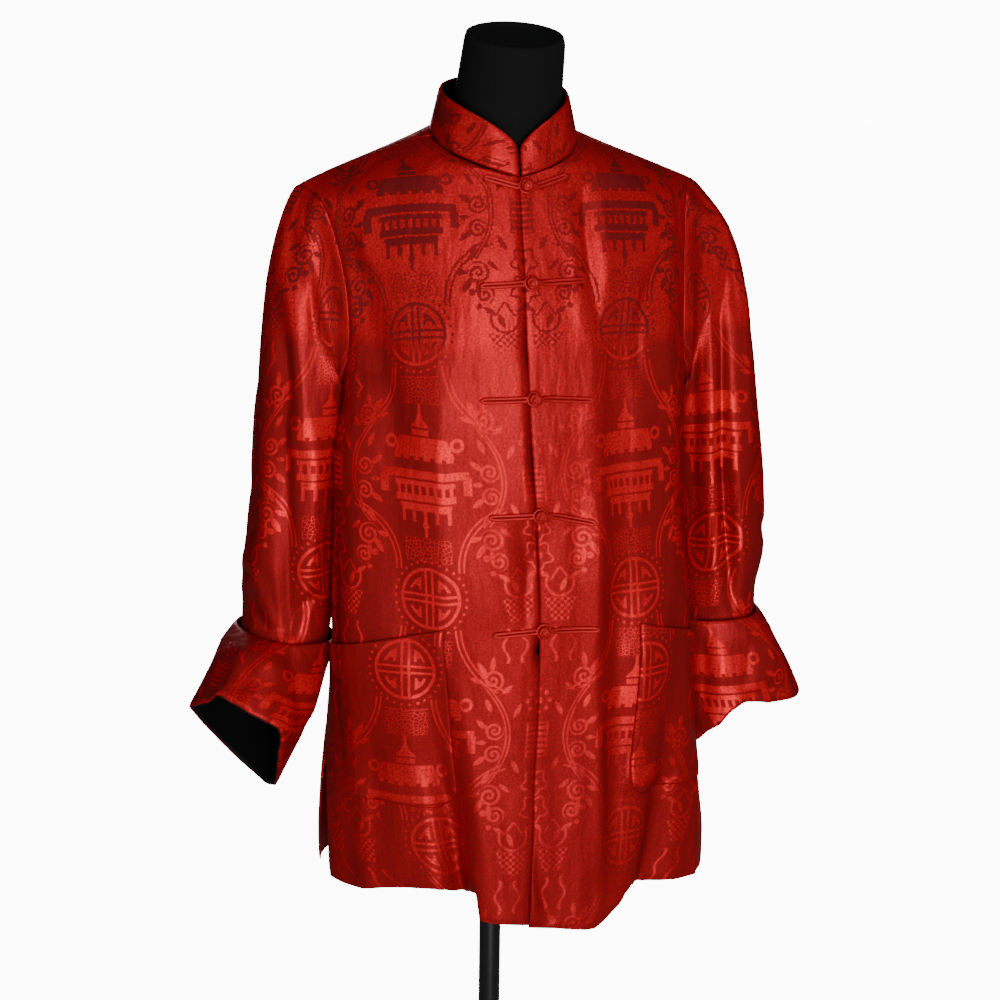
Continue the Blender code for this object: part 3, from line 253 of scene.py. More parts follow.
CREASES = {key: read_table(Crease, rows) for key, rows in {
    ("front_right", Facing.FRONT): (
        (-160, 1290, -143, 1080, 7, 22, -8), (-122, 900, -140, 1180, 3, 24, -9),
        (-92, 1240, -85, 900, -2, 18, 5), (-152, 1349, -147, 1277, -2, 9.4, 2.5),
        (-170, 1318, -164, 1220, 2, 8.3, -3), (-128, 1317, -120, 1265, 3, 12.5, 1.5),
        (-72, 1338, -75, 1181, 7, 27, 1.8), (5, 1027, -10, 957, 1, 7.3, -2.4),
        (-52, 1003, -31, 929, -5, 14.6, 1.4), (-91, 894, -58, 673, 1, 9.4, -4.5),
        (-75, 879, -42, 631, 5, 9.4, 3), (-32, 835, 3, 804, -6, 4.7, -1.5),
        (-26, 868, -22, 795, 6, 8.3, 1.2), (-33, 753, -30, 628, 2, 6.2, -1.6),
        (-15, 763, -14, 631, -2, 9.4, 1.6), (-122, 854, -125, 653, 1, 12.5, 2),
        (-150, 827, -147, 649, 3, 10.4, -1.8), (-168, 852, -175, 647, 0, 9.4, 1.6),
        (-15, 1042, -2, 972, 3, 9, -4.6), (-6, 968, -3, 932, 0, 7, -3.6), (-34, 1030, -24, 945, 2, 11, 3.2),),
    ("front_left", Facing.FRONT): (
        (61, 1366, 71, 1226, -2, 7.8, -6.5), (82, 1353, 86, 1264, 0, 9.4, 2.4),
        (47, 1351, 55, 1227, -4, 10.4, 1.6), (60, 1270, 69, 900, 3, 15, 5),
        (66, 1060, 74, 660, 1, 12.5, 5.8), (71, 851, 77, 610, 4, 7.3, 3.2),
        (94, 1250, 108, 900, -1, 24, -10), (92, 975, 100, 630, 2, 20, -10.5),
        (158, 1307, 130, 1151, -24, 7.3, -3.4), (142, 1322, 111, 1223, -17, 9.4, 1.8),
        (142, 1169, 147, 945, -9, 13.5, -2.5), (4, 617, 6, 703, 0, 9, 4.2), (26, 617, 8, 700, 4, 6, -4.8),
        (91, 743, 172, 750, -10, 7.3, -3.2), (90, 763, 156, 764, -6, 9.4, 1.6),
        (36, 917, 72, 877, -3, 7.3, 1.4), (24, 1021, 55, 962, -7, 9.4, 1.3),
        (24, 856, 31, 621, 3, 10.4, -1.6), (44, 865, 54, 613, 5, 10.4, 1.8),
        (118, 908, 125, 756, 5, 12.5, 1.4),),
    ("sleeve_right", Facing.FRONT): (
        (-205, 1318, -168, 1157, 0, 8.3, 5), (-177, 1252, -159, 1105, 23, 12.5, -6.5),
        (-240, 1256, -224, 1115, 5, 10.4, -7), (-219, 1260, -212, 1095, 2, 9.4, 4.5),
        (-200, 1263, -196, 1210, -1, 3.6, -2.2), (-234, 1154, -225, 898, 1, 10.4, -10),
        (-245, 1131, -253, 967, 2, 10.4, 3), (-201, 1136, -205, 949, 4, 10.4, 3.5),
        (-180, 948, -224, 896, -13, 5.7, -4), (-260, 978, -239, 909, 1, 5.2, 3.2),
        (-264, 947, -245, 902, -1, 6.2, -3.2), (-241, 980, -233, 908, 1, 4.2, 1.8),
        (-177, 1092, -185, 946, 1, 7.3, -4), (-242, 1239, -250, 1137, -1, 8.3, 2.5),
        (-220, 1321, -222, 1269, 4, 9.4, -2.5), (-189, 1331, -174, 1268, 3, 7.3, -2.6),),
    ("sleeve_left", Facing.FRONT): (
        (228, 1223, 250, 904, -6, 6.8, -12), (215, 1302, 216, 1059, 4, 8.3, 4),
        (264, 1247, 267, 926, -9, 10.4, 3), (241, 1299, 223, 1203, 3, 5.2, -3.6),
        (248, 1306, 244, 1224, 1, 8.3, -3.2), (202, 1268, 213, 928, -7, 7.3, -4.5),
        (221, 1049, 230, 905, 0, 8.3, 3), (243, 1091, 259, 916, 1, 5.2, 2.5),
        (209, 1305, 206, 1237, 5, 6.2, -2),),
    ("cuff_right", Facing.FRONT): (
        (-229, 895, -217, 804, 0, 8.3, -4.5), (-250, 894, -248, 834, -7, 15.6, 2.2),
        (-291, 881, -255, 896, 3, 6.2, 1.6), (-287, 864, -247, 867, 7, 8.3, -1.5),
        (-189, 874, -206, 817, -8, 7.3, 2.5),),
    ("cuff_left", Facing.FRONT): (
        (258, 813, 325, 819, 6, 7.3, -3.5), (227, 882, 229, 812, 6, 13.5, 2.6),
        (259, 877, 256, 817, 4, 8.3, -2), (282, 874, 295, 827, 2, 10.4, 2),
        (216, 877, 218, 788, 1, 5.2, -2.5),),
    ("collar", Facing.FRONT): (
        (-63, 1430, -56, 1390, -4, 8, 3), (-66, 1439, -71, 1400, -1, 7.3, -1.3),
        (-63, 1428, -47, 1420, -1, 3.1, -0.9), (-26, 1410, -26, 1389, 1, 7.3, 0.8),
        (-37, 1413, -40, 1388, -2, 5.2, -0.6), (61, 1432, 43, 1398, -7, 5.2, 1.2),
        (31, 1430, 28, 1394, 3, 5.2, -0.9), (13, 1417, 11, 1388, 2, 6.2, 0.7),),
    ("back", Facing.BACK): (
        (-90, 1210, -105, 760, 12, 14, -4.5), (-45, 1150, -50, 660, -8, 15, 2.6),
        (15, 1060, 26, 640, 6, 12, -2), (72, 1230, 86, 720, -10, 14, -4.5), (112, 1080, 126, 690, 7, 13, 3),
        (-132, 1040, -142, 670, -6, 11, -3.4), (-172, 1262, -100, 1160, -12, 10, -4.2),
        (-160, 1210, -70, 1105, -10, 8, -2.6), (172, 1250, 112, 1145, 12, 10, -4.6),
        (158, 1200, 90, 1120, 8, 8, 2.2), (-120, 965, -40, 946, -6, 8, -1.8), (128, 972, 62, 948, 6, 8, -2),
        (-60, 1372, 50, 1366, -10, 11, 1.4),),
    ("sleeve_right", Facing.BACK): (
        (-226, 1215, -236, 925, 6, 11, -9), (-205, 1165, -214, 950, -4, 9, -5.5),
        (-246, 1150, -250, 990, 3, 9, 3), (-256, 1050, -205, 1026, -8, 6, -3.6),
        (-252, 990, -205, 1000, 7, 6, -3),),
    ("sleeve_left", Facing.BACK): (
        (236, 1225, 247, 920, -6, 10, -10), (210, 1170, 224, 940, 5, 9, -5),
        (268, 1060, 215, 1030, 8, 6, -4), (262, 985, 218, 998, -6, 6, -3),),
    ("sleeve_right", Facing.RIGHT): (
        (30, 1255, 36, 940, 4, 12, -6), (55, 1190, 52, 950, -3, 9, 3), (-30, 1010, 36, 972, 8, 7, -3.4),
        (-20, 960, 30, 944, 6, 6, -3),),
    ("sleeve_left", Facing.LEFT): (
        (14, 1262, 26, 930, -4, 12, -7), (52, 1210, 56, 950, 3, 10, -5), (-16, 1190, -12, 990, 3, 9, 3),
        (-28, 1000, 44, 968, -8, 7, -3.4),),
    ("front_left back", Facing.LEFT): (
        (-66, 1060, -74, 730, 4, 11, -3.6), (50, 1040, 56, 700, -4, 11, -4),),
    ("front_right back", Facing.RIGHT): (
        (-60, 1050, -70, 740, -4, 11, -3.6), (48, 1040, 60, 700, 4, 11, -4),),
    ("cuff_right", Facing.BACK): ((-246, 884, -268, 806, 4, 9, -3.6),),
    ("cuff_left", Facing.BACK): ((262, 882, 280, 800, 4, 9, -3.6),),
    ("cuff_left", Facing.LEFT): ((-20, 878, -36, 800, 4, 9, -3),),
    ("cuff_right", Facing.RIGHT): ((10, 882, -50, 820, 4, 9, -3),),
}.items()}


# ---------- curves
def row_between(rows: Rows, at: float) -> tuple:
    """A whole row of a size table at a fractional row, on smooth curves that don't overshoot.

    Args:
        rows: rows of the table.
        at: fractional row.

    Returns:
        The row.
    """
    values = np.array(rows, float)
    step = np.diff(values, axis=0)
    inner = step[:-1] * step[1:] > 0
    mean = 2.0 * step[:-1] * step[1:] / np.where(inner, step[:-1] + step[1:], 1.0)
    slope = np.concatenate([step[:1], np.where(inner, mean, 0.0), step[-1:]])
    low = min(max(math.floor(at), 0), len(rows) - 2)
    t = at - low
    return type(rows[0])(*(values[low] * (1 + 2 * t) * (1 - t) ** 2 + slope[low] * t * (1 - t) ** 2
                           + values[low + 1] * t * t * (3 - 2 * t) + slope[low + 1] * t * t * (t - 1)))


def unit(vectors: ndarray) -> ndarray:
    """Vectors scaled to length one."""
    return vectors / np.maximum(np.linalg.norm(vectors, axis=-1, keepdims=True), 1e-12)


def neckline(degrees: float, sign: float) -> ndarray:
    """Point of the neckline.

    Args:
        degrees: angle round it, 0 at the opening and 180 at the nape.
        sign: -1 right, 1 left.

    Returns:
        The point.
    """
    angle = math.radians(degrees)
    depth = NECK_FRONT if degrees < 90 else NECK_BACK
    rise = NECK_RISE * abs(math.sin(angle / 2)) ** NECK_CURVE
    return np.array([NECK_X + sign * NECK_HALF_WIDTH * math.sin(angle),
                     NECK_Y - depth * math.cos(angle), NECK_LOW + rise])


def fold_shift(piece: str, places: ndarray, level: float) -> tuple[ndarray, ndarray]:
    """Shift of the cloth along one row of a panel.

    Args:
        piece: name of the panel.
        places: places across it.
        level: the row.

    Returns:
        The outward and the upward shift at each place.
    """
    shift, lift = np.zeros_like(places), np.zeros_like(places)
    for fold in FOLDS[piece]:
        if level > fold.row_high:
            continue
        fade = 1.0 - level / fold.row_high
        bell = np.exp(-((places - fold.place - fold.drift * fade) / fold.width) ** 2)
        shift += fold.depth * fade ** FOLD_FADE * bell
        lift += fold.sag * fade ** SAG_FADE * bell
    if piece in HEM_LIFT and level < SLIT_ROW:
        hem = np.interp(places, *zip(*HEM_LIFT[piece])) / MM
        lift += hem * (1.0 - level / SLIT_ROW) ** HEM_FADE
    return shift, lift


def panel_row(part: str, side: str, places: ndarray, level: float) -> ndarray:
    """Points along one row of half a panel.

    Args:
        part: front or back.
        side: right or left.
        places: 0 at the panel's middle line and 1 at its outer edge.
        level: the row.

    Returns:
        One point per place.
    """
    sign = dict(SIDES)[side]
    back = part == "back"
    row = row_between(BACK_ROWS if back else FRONT_ROWS, level)._asdict()
    if level > NECK_ROW:
        start = neckline(row["neck"], sign)
    else:
        start = np.array([row["x_in"], row["y_in"], row["z_in"]])
    end = np.array([row["x_" + side], row["y_out"], row["z_" + side]])
    flat = start[:2] + np.array([(end[0] - start[0]) * row["flat"], 0.0])
    turn = end[:2] + np.array([sign * row["turn_" + side], -row["turn_y"]])
    t = (places * row["cut"])[:, None]
    along = ((1 - t) ** 3 * start[:2] + 3 * t * (1 - t) ** 2 * flat
             + 3 * t * t * (1 - t) * turn + t ** 3 * end[:2])
    share = np.clip((along[:, 0] - start[0]) / (end[0] - start[0]), 0.0, 1.0)
    height = start[2] + (end[2] - start[2]) * share ** row["fall_" + side]
    way = 3 * ((1 - t) ** 2 * (flat - start[:2]) + 2 * t * (1 - t) * (turn - flat)
               + t * t * (end[:2] - turn))
    outward = unit(np.stack([way[:, 1], -way[:, 0]], axis=1)) * sign * (-1 if back else 1)
    shift, lift = fold_shift("back", places * sign, level) if back \
        else fold_shift("front_" + side, places, level)
    return np.column_stack([along + outward * shift[:, None], height + lift])


def subdivide(values: Sequence[float], cuts: int) -> list[float]:
    """The values with each gap between them cut into equal steps."""
    dense = []
    for a, b in zip(values, values[1:]):
        dense += [a + (b - a) * i / cuts for i in range(cuts)]
    return dense + [values[-1]]


def levels_between(first: float, last: float, per_row: float) -> list[float]:
    """Evenly spaced fractional rows from the first to the last, both included."""
    count = int(round((last - first) * per_row))
    return [first + (last - first) * i / count for i in range(count + 1)]


# Levels and places of the built solids, cut finer: the panels' rows and columns.
BUILT_LEVELS = (levels_between(0, UNDERARM_ROW, 1.5) + levels_between(UNDERARM_ROW, NECK_ROW, 1.4)[1:]
                + levels_between(NECK_ROW, TOP_ROW, 2)[1:])
BUILT_PLACES = [0, 0.06, 0.13, 0.20, 0.27, 0.34, 0.42, 0.50, 0.58, 0.66, 0.74, 0.82, 0.89, 0.95, 1.0]
LEVELS = np.array(sorted(set(subdivide(BUILT_LEVELS, LEVEL_CUTS)) | set(HEM_LEVELS)))
PLACES = np.array(subdivide(BUILT_PLACES, PLACE_CUTS))
UNDERARM, NECK, SLIT = (int(np.argmin(abs(LEVELS - row))) for row in (UNDERARM_ROW, NECK_ROW, SLIT_ROW))


def grid_normals(grid: ndarray, middle: ndarray, wrap: bool = False) -> ndarray:
    """Unit normals of a grid of points, turned away from a middle line.

    Args:
        grid: rows of points.
        middle: the middle line's point for each.
        wrap: whether the columns run round a tube.

    Returns:
        The normals.
    """
    along = np.gradient(grid, axis=0, edge_order=2)
    if wrap:
        across = np.roll(grid, -1, axis=1) - np.roll(grid, 1, axis=1)
    else:
        across = np.gradient(grid, axis=1, edge_order=2)
    normals = unit(np.cross(across, along))
    side = np.sum(normals * (grid - middle), axis=2)
    return normals * (1.0 if side.sum() > 0 else -1.0)


def trunk_axis(grid: ndarray) -> ndarray:
    """Points on the middle line of the body at each point's own height, no higher than the chest."""
    middle = np.zeros_like(grid)
    middle[..., 2] = np.minimum(grid[..., 2], CHEST)
    return middle


def tube_normals(grid: ndarray) -> ndarray:
    """Unit normals of the rings of a tube."""
    return grid_normals(grid, grid.mean(axis=1, keepdims=True), wrap=True)


def superellipse(count: int, power: float) -> ndarray:
    """Points round a superellipse of half size one; power 2 is a circle, more is squarer."""
    angles = np.arange(count) * math.tau / count
    way = np.stack([np.cos(angles), np.sin(angles)], axis=1)
    return np.sign(way) * np.abs(way) ** (2 / power)


def ring_points(ring: Ring, count: int, sign: int) -> ndarray:
    """Points round one ring, from the side next to the body over the front to the outer side.

    Args:
        ring: sizes of the ring.
        count: number of points.
        sign: -1 right, 1 left.

    Returns:
        The points.
    """
    out, fore, spin = (math.radians(angle) for angle in (ring.lean_out, ring.lean_fore, ring.spin))
    axis = unit(np.array([sign * math.tan(out), -math.tan(fore), -1.0]))
    outward = unit(np.cross(np.array([0.0, 1.0, 0.0]), axis) * -sign)
    forward = np.cross(axis, outward)
    forward *= -1.0 if forward[1] > 0 else 1.0
    outward, forward = (outward * math.cos(spin) + forward * math.sin(spin),
                        forward * math.cos(spin) - outward * math.sin(spin))
    outline = superellipse(count, ring.square) * (ring.half_out, ring.half_fore)
    return np.array([ring.x, ring.y, ring.z]) - outline[:, :1] * outward + outline[:, 1:] * forward


def ring_rows(rows: list[Ring], count: int, sign: int, per_row: float) -> ndarray:
    """Rings of points interpolated between the rows of a sleeve or cuff table."""
    return np.array([ring_points(row_between(rows, level), count, sign)
                     for level in levels_between(0, len(rows) - 1, per_row)])


def run_along(grid: ndarray, axis: int, use: tuple[int, ...] = (0, 1, 2)) -> ndarray:
    """Distance run along one axis of a grid.

    Args:
        grid: rows of points.
        axis: 0 down the columns, 1 along the rows.
        use: the coordinates that count.

    Returns:
        One distance per point.
    """
    step = np.linalg.norm(np.diff(grid[..., list(use)], axis=axis), axis=-1)
    start = np.zeros_like(np.take(step, [0], axis=axis))
    return np.concatenate([start, np.cumsum(step, axis=axis)], axis=axis)


def crease_depth(piece: str, points: ndarray, normals: ndarray) -> ndarray:
    """How far its creases push each point of a piece outward.

    Args:
        piece: name of the piece.
        points: its points.
        normals: the normals there.

    Returns:
        One distance per point.
    """
    moved = np.zeros(len(points))
    for (pieces, facing), rows in CREASES.items():
        if piece not in pieces.split():
            continue
        across, out, sign = facing.value
        spots = points[:, (across, 2)]
        seen = np.clip(normals[:, out] * sign * CREASE_SIGHT[0] + CREASE_SIGHT[1], 0.0, 1.0)
        for crease in rows:
            a, b = np.array(crease[:2]), np.array(crease[2:4])
            length = max(np.linalg.norm(b - a), 1e-6)
            aside = np.array([-(b - a)[1], (b - a)[0]]) / length
            t = np.clip((spots - a) @ (b - a) / length ** 2, 0.0, 1.0)
            arch = 4 * t * (1 - t)
            line = a + t[:, None] * (b - a) + (arch * crease.bow)[:, None] * aside
            near = np.linalg.norm(spots - line, axis=1) / crease.width
            moved += crease.depth * np.exp(-near ** CREASE_FLANK) * arch ** 0.5 * seen
    return moved


# Waves of hanging cloth: share, then two sines, each as factors of x, y, z and a start.
WAVES = (
    (1.0, (31, 0, 9, 1.3), (0, -12, 7.5, 0.4)),
    (0.6, (55, 0, -14, 2.1), (0, 17, 13, 0)),
    (0.4, (0, 83, 21, 0), (29, 0, 11, 0.7)),
)


def ripple(points: ndarray, size: float) -> ndarray:
    """Slow uneven waviness of hanging cloth: one outward distance per point."""
    spots = np.column_stack([points, np.ones(len(points))])
    return size * sum(share * np.sin(spots @ one) * np.sin(spots @ other) for share, one, other in WAVES)


# ---------- meshes
@dataclass
class Cloth:
    """A sheet on a grid of middle points, with its flat coordinates in metres."""

    name: str
    grid: ndarray
    normals: ndarray
    flat: ndarray
    wrap: bool = False  # the columns run round a tube
    wall: float = CLOTH
    outside: Kind = Kind.SHELL
    split: int = 0  # column at which two halves are welded
    turned: ndarray | None = None  # where shell cloth is turned to the inside

    def creased(self, waviness: float = 0.0009, sewn: ndarray | float = math.inf) -> "Cloth":
        """The same sheet, creased and slightly wavy.

        Args:
            waviness: size of the slow waves.
            sewn: metres from the nearest seam, where both die out.

        Returns:
            The creased sheet.
        """
        points, normals = self.grid.reshape(-1, 3), self.normals.reshape(-1, 3)
        free = 1.0 - np.exp(-(np.broadcast_to(sewn, self.grid.shape[:2]).ravel() / SEAM_HOLD) ** 2)
        push = (crease_depth(self.name, points, normals) + ripple(points, waviness)) * free
        return replace(self, grid=(points + normals * push[:, None]).reshape(self.grid.shape))

    def roll_edge(self, distance: ndarray, drop: float | ndarray = EDGE_DROP,
                  reach: float = EDGE_REACH) -> None:
        """Round the cloth inward next to an edge: distance from it, drop at it, and reach of the drop."""
        self.grid = self.grid - self.normals * (drop * np.exp(-(distance / reach) ** 2))[..., None]

    def lined(self, name: str, rows: slice) -> "Cloth":
        """The lining on the inside of some rows of this cloth."""
        inside = self.grid[rows] - self.normals[rows] * (self.wall / 2 + LAY * 2 + LINING / 2)
        return Cloth(name, inside, self.normals[rows], self.flat[rows], self.wrap, LINING, Kind.LINING)

    def build(self) -> Object:
        """The sheet as one closed shell with flat coordinates on both sides.

        Returns:
            The piece, with its finishes.
        """
        rows, columns = self.grid.shape[:2]
        r, c = np.meshgrid(np.arange(rows - 1), np.arange(columns - (not self.wrap)), indexing="ij")
        r, c = r.ravel(), c.ravel()
        number = np.arange(rows * columns).reshape(rows, columns)
        if self.split:
            r, c = r[c != self.split - 1], c[c != self.split - 1]
            number[:NECK + 1, self.split] = number[:NECK + 1, self.split - 1]
        ahead = (c + 1) % columns
        faces = np.stack([number[r, c], number[r, ahead], number[r + 1, ahead], number[r + 1, c]], axis=1)
        wide = self.flat.shape[1]
        spots = np.stack([r * wide + c, r * wide + c + 1, (r + 1) * wide + c + 1, (r + 1) * wide + c], axis=1)
        points, normals = self.grid.reshape(-1, 3), self.normals.reshape(-1, 3)
        corner = points[faces]
        looks = np.cross(corner[:, 2] - corner[:, 0], corner[:, 3] - corner[:, 1])
        if np.sum(looks * normals[faces[:, 0]]) < 0:
            faces, spots = faces[:, ::-1], spots[:, ::-1]
        count = rows * columns
        edges, edge_spots = (np.concatenate([ends[:, (i, (i + 1) % 4)] for i in range(4)])
                             for ends in (faces, spots))
        keys = edges.min(axis=1) * count + edges.max(axis=1)
        _, first, uses = np.unique(keys, return_index=True, return_counts=True)
        free = first[uses == 1]
        rim = np.column_stack([edges[free][:, ::-1], edges[free] + count])
        rim_spots = np.column_stack([edge_spots[free][:, ::-1], edge_spots[free]])
        half = normals * self.wall / 2
        every = np.concatenate([faces, faces[:, ::-1] + count, rim])
        every_spots = np.concatenate([spots, spots[:, ::-1], rim_spots])
        made = mesh_object(self.name, np.concatenate([points + half, points - half]), every.tolist())
        layer = made.data.uv_layers.new(name="flat")
        layer.data.foreach_set("uv", self.flat.reshape(-1, 2)[every_spots.ravel()].astype(np.float32).ravel())
        inner = slice(len(faces), 2 * len(faces))
        slots = np.zeros(len(every), np.int32)
        slots[inner] = 1 if self.turned is None else ~self.turned[r, c]
        made.data.polygons.foreach_set("material_index", slots)
        made.data.polygons.foreach_set("use_smooth", np.arange(len(every)) < inner.stop)
        for kind in (self.outside, Kind.LINING):
            made.data.materials.append(material(kind))
        return made


def mesh_object(name: str, points: Iterable, faces: Iterable, smooth: bool = True) -> Object:
    """Object from points and faces, linked to the scene.

    Args:
        name: its name.
        points: the corners.
        faces: corner numbers of each face.
        smooth: whether it is shaded smooth.

    Returns:
        The object.
    """
    mesh = bpy.data.meshes.new(name)
    mesh.from_pydata([tuple(p) for p in np.asarray(points, float)], [], [tuple(f) for f in faces])
    if smooth:
        mesh.shade_smooth()
    made = bpy.data.objects.new(name, mesh)
    bpy.context.scene.collection.objects.link(made)
    return made


def closed_object(name: str, rings: ndarray, kind: Kind, loop: bool = False) -> Object:
    """Closed body through rings of points.

    Args:
        name: its name.
        rings: the rings, equal in number of points.
        kind: its finish.
        loop: whether the last ring runs on into the first; if not, both ends are closed.

    Returns:
        The body.
    """
    rows, sides = rings.shape[:2]
    faces = [(r * sides + c, r * sides + (c + 1) % sides, (r + 1) % rows * sides + (c + 1) % sides,
              (r + 1) % rows * sides + c) for r in range(rows - (not loop)) for c in range(sides)]
    if not loop:
        faces += [tuple(range(sides))[::-1], tuple((rows - 1) * sides + c for c in range(sides))]
    made = mesh_object(name, rings.reshape(-1, 3), faces)
    work = bmesh.new()
    work.from_mesh(made.data)
    bmesh.ops.recalc_face_normals(work, faces=work.faces)
    work.to_mesh(made.data)
    work.free()
    made.data.materials.append(material(kind))
    return made


# ---------- fronts and back
@dataclass
class Body:
    """Both fronts and the back, on shared seam points."""

    facing_wide: float = 0.050  # shell cloth turned to the inside along the opening
    facing_narrow: float = 0.052  # and along the hem and the slits
    front_edge: float = 0.0001  # each front stops this far from the opening line
    underlap: float = 0.0030  # the right front runs on under the left one
    opening_reach: float = 0.0042  # how far from the opening the right front's edge falls in
    left_reach: float = 0.003
    hem_edge: tuple = (0.0008, 0.004)
    drops: tuple[float, float] = (0.0020, 0.0016)  # that fall at a frog, and what is added between two
    # Where the opening gapes: height, half its length and depth.
    gapes: tuple = ((0.906, 0.008, 0.012), (1.100, 0.030, 0.003), (1.215, 0.022, 0.002))
    yoke_level: float = 10.5  # the panels are eased above this level
    yoke_rise: float = 1.5  # levels over which the easing sets in
    yoke_places: int = 5  # columns over which it fades to the edges
    yoke_turns: int = 24
    grids: dict[str, ndarray] = field(default_factory=dict)
    normals: dict[str, ndarray] = field(default_factory=dict)
    flats: dict[str, ndarray] = field(default_factory=dict)

    def plan(self) -> "Body":
        """Works out the middle points, the normals and the flat coordinates."""
        seam = slice(SLIT, UNDERARM + 1)
        for side, _ in SIDES:
            for part in ("front", "back"):
                rows = np.array([panel_row(part, side, PLACES, level) for level in LEVELS])
                self.ease_yoke(rows)
                self.grids[part + "_" + side] = rows
            front, back = self.grids["front_" + side], self.grids["back_" + side]
            back[seam, -1] = front[seam, -1]
            back[-1] = front[-1]
        self.normals = {name: grid_normals(grid, trunk_axis(grid)) for name, grid in self.grids.items()}
        for side, _ in SIDES:
            front, back = self.normals["front_" + side], self.normals["back_" + side]
            front[seam, -1] = back[seam, -1] = unit(front[seam, -1] + back[seam, -1])
            front[-1] = back[-1] = unit(front[-1] + back[-1])
        right, left = self.normals["back_right"], self.normals["back_left"]
        right[:NECK + 1, 0] = left[:NECK + 1, 0] = unit(right[:NECK + 1, 0] + left[:NECK + 1, 0])
        for name, grid in self.grids.items():
            middle = grid[np.minimum(np.arange(len(LEVELS)), NECK), 0, 0]
            across = abs(grid[:, :1, 0] - middle[:, None]) + run_along(grid, 1)
            up = grid[:1, :, 2] + run_along(grid, 0, (1, 2))
            self.flats[name] = np.stack([across, up], axis=2)
        return self

    def ease_yoke(self, grid: ndarray) -> None:
        """Round off the fold that runs out from the start of the neckline, holding the panel's edges.

        Args:
            grid: points of half a panel, changed in place.
        """
        places = np.arange(grid.shape[1])
        inside = np.clip(np.minimum(places, places[::-1]) / self.yoke_places, 0, 1)
        share = np.clip((LEVELS - self.yoke_level) / self.yoke_rise, 0, 1)[1:-1, None] * inside
        for _ in range(self.yoke_turns):
            grid[1:-1] += ((grid[:-2] + grid[2:]) / 2 - grid[1:-1]) * share[..., None] / 2

    def pull_in(self) -> None:
        """Shorten the panels by a sewing gap at the armhole, the side and the shoulder, and at the opening."""
        for name, grid in self.grids.items():
            edges = [(1, -1, SEAM / 2), (0, -1, SEAM / 2)]
            if name.startswith("front"):
                edges.append((1, 0, self.front_edge))
            for axis, end, gap in edges:
                moved = np.moveaxis(grid, axis, 0)
                inner = moved[1 if end == 0 else -2]
                moved[end] += unit(inner - moved[end]) * gap

    def armhole(self, side: str) -> list[ndarray]:
        """Outer edge from the underarm up the front and down the back: its points and normals."""
        return [np.concatenate([source["front_" + side][UNDERARM:, -1],
                                source["back_" + side][UNDERARM + 1:-1, -1][::-1]])
                for source in (self.grids, self.normals)]

    def edge_run(self, name: str) -> dict[str, ndarray]:
        """Metres from each point of half a panel to its edges.

        Args:
            name: the half panel.

        Returns:
            Distances from its middle line, outer edge, top, hem and sewn edges, and where shell cloth
            is turned in.
        """
        across, up = run_along(self.grids[name], 1), run_along(self.grids[name], 0)
        run = {"middle": across, "outer": across[:, -1:] - across, "top": up[-1:] - up, "hem": up}
        row = np.arange(len(LEVELS))[:, None]
        run["sewn"] = np.minimum(run["top"], np.where(row >= SLIT, run["outer"], math.inf))
        run["open"] = (up < self.facing_narrow) | ((row <= SLIT) & (run["outer"] < self.facing_narrow))
        return run

    def opening_drop(self, height: ndarray) -> ndarray:
        """How far the right front's edge falls in: a little between frogs, more where it gapes.

        Args:
            height: heights along the edge.

        Returns:
            The fall at each height.
        """
        knots = [frog.z for frog in reversed(FROGS)]
        least, more = self.drops
        drop = least + more * np.sin(math.pi * np.interp(height, knots, range(len(knots)))) ** 2
        for middle, half, depth in self.gapes:
            drop = drop + depth * np.exp(-((height - middle) / half) ** 2)
        return drop

    def front(self, side: str) -> Cloth:
        """One front as a creased sheet."""
        name = "front_" + side
        run = self.edge_run(name)
        cloth = Cloth(name, self.grids[name], self.normals[name], self.flats[name]).creased(sewn=run["sewn"])
        cloth.turned = (run["middle"] < self.facing_wide) | run["open"]
        if side == "left":
            cloth.roll_edge(run["middle"], reach=self.left_reach)
        else:
            cloth.roll_edge(run["middle"], self.opening_drop(self.grids[name][:, :1, 2]), self.opening_reach)
        cloth.roll_edge(run["outer"])
        cloth.roll_edge(run["top"])
        cloth.roll_edge(run["hem"], *self.hem_edge)
        if side == "right":
            cloth.grid[:, 0] += unit(cloth.grid[:, 0] - cloth.grid[:, 1]) * self.underlap
        return cloth

    def back(self) -> Cloth:
        """The back as a creased sheet, its two halves welded on the back line up to the nape."""
        def both_halves(right: ndarray, left: ndarray) -> ndarray:
            """The two halves side by side."""
            return np.concatenate([right[:, ::-1], left], axis=1)

        grid, normals = (both_halves(source["back_right"], source["back_left"])
                         for source in (self.grids, self.normals))
        flat = both_halves(self.flats["back_right"] * (-1, 1), self.flats["back_left"])
        right, left = self.edge_run("back_right"), self.edge_run("back_left")
        run = {key: both_halves(right[key], left[key]) for key in left}
        cloth = Cloth("back", grid, normals, flat, split=len(PLACES)).creased(sewn=run["sewn"])
        cloth.roll_edge(run["outer"])
        cloth.roll_edge(run["top"])
        cloth.roll_edge(run["hem"], self.hem_edge[0])
        cloth.turned = run["open"]
        return cloth

    def meet_sleeve(self, side: str, normals: ndarray) -> None:
        """Gives the armhole's edge the normals of the sleeve that is sewn to it."""
        front, back = self.normals["front_" + side], self.normals["back_" + side]
        count = len(LEVELS) - UNDERARM
        front[UNDERARM:, -1] = normals[:count]
        back[-1, -1], back[UNDERARM, -1] = normals[count - 1], normals[0]
        back[UNDERARM + 1:-1, -1] = normals[count:][::-1]


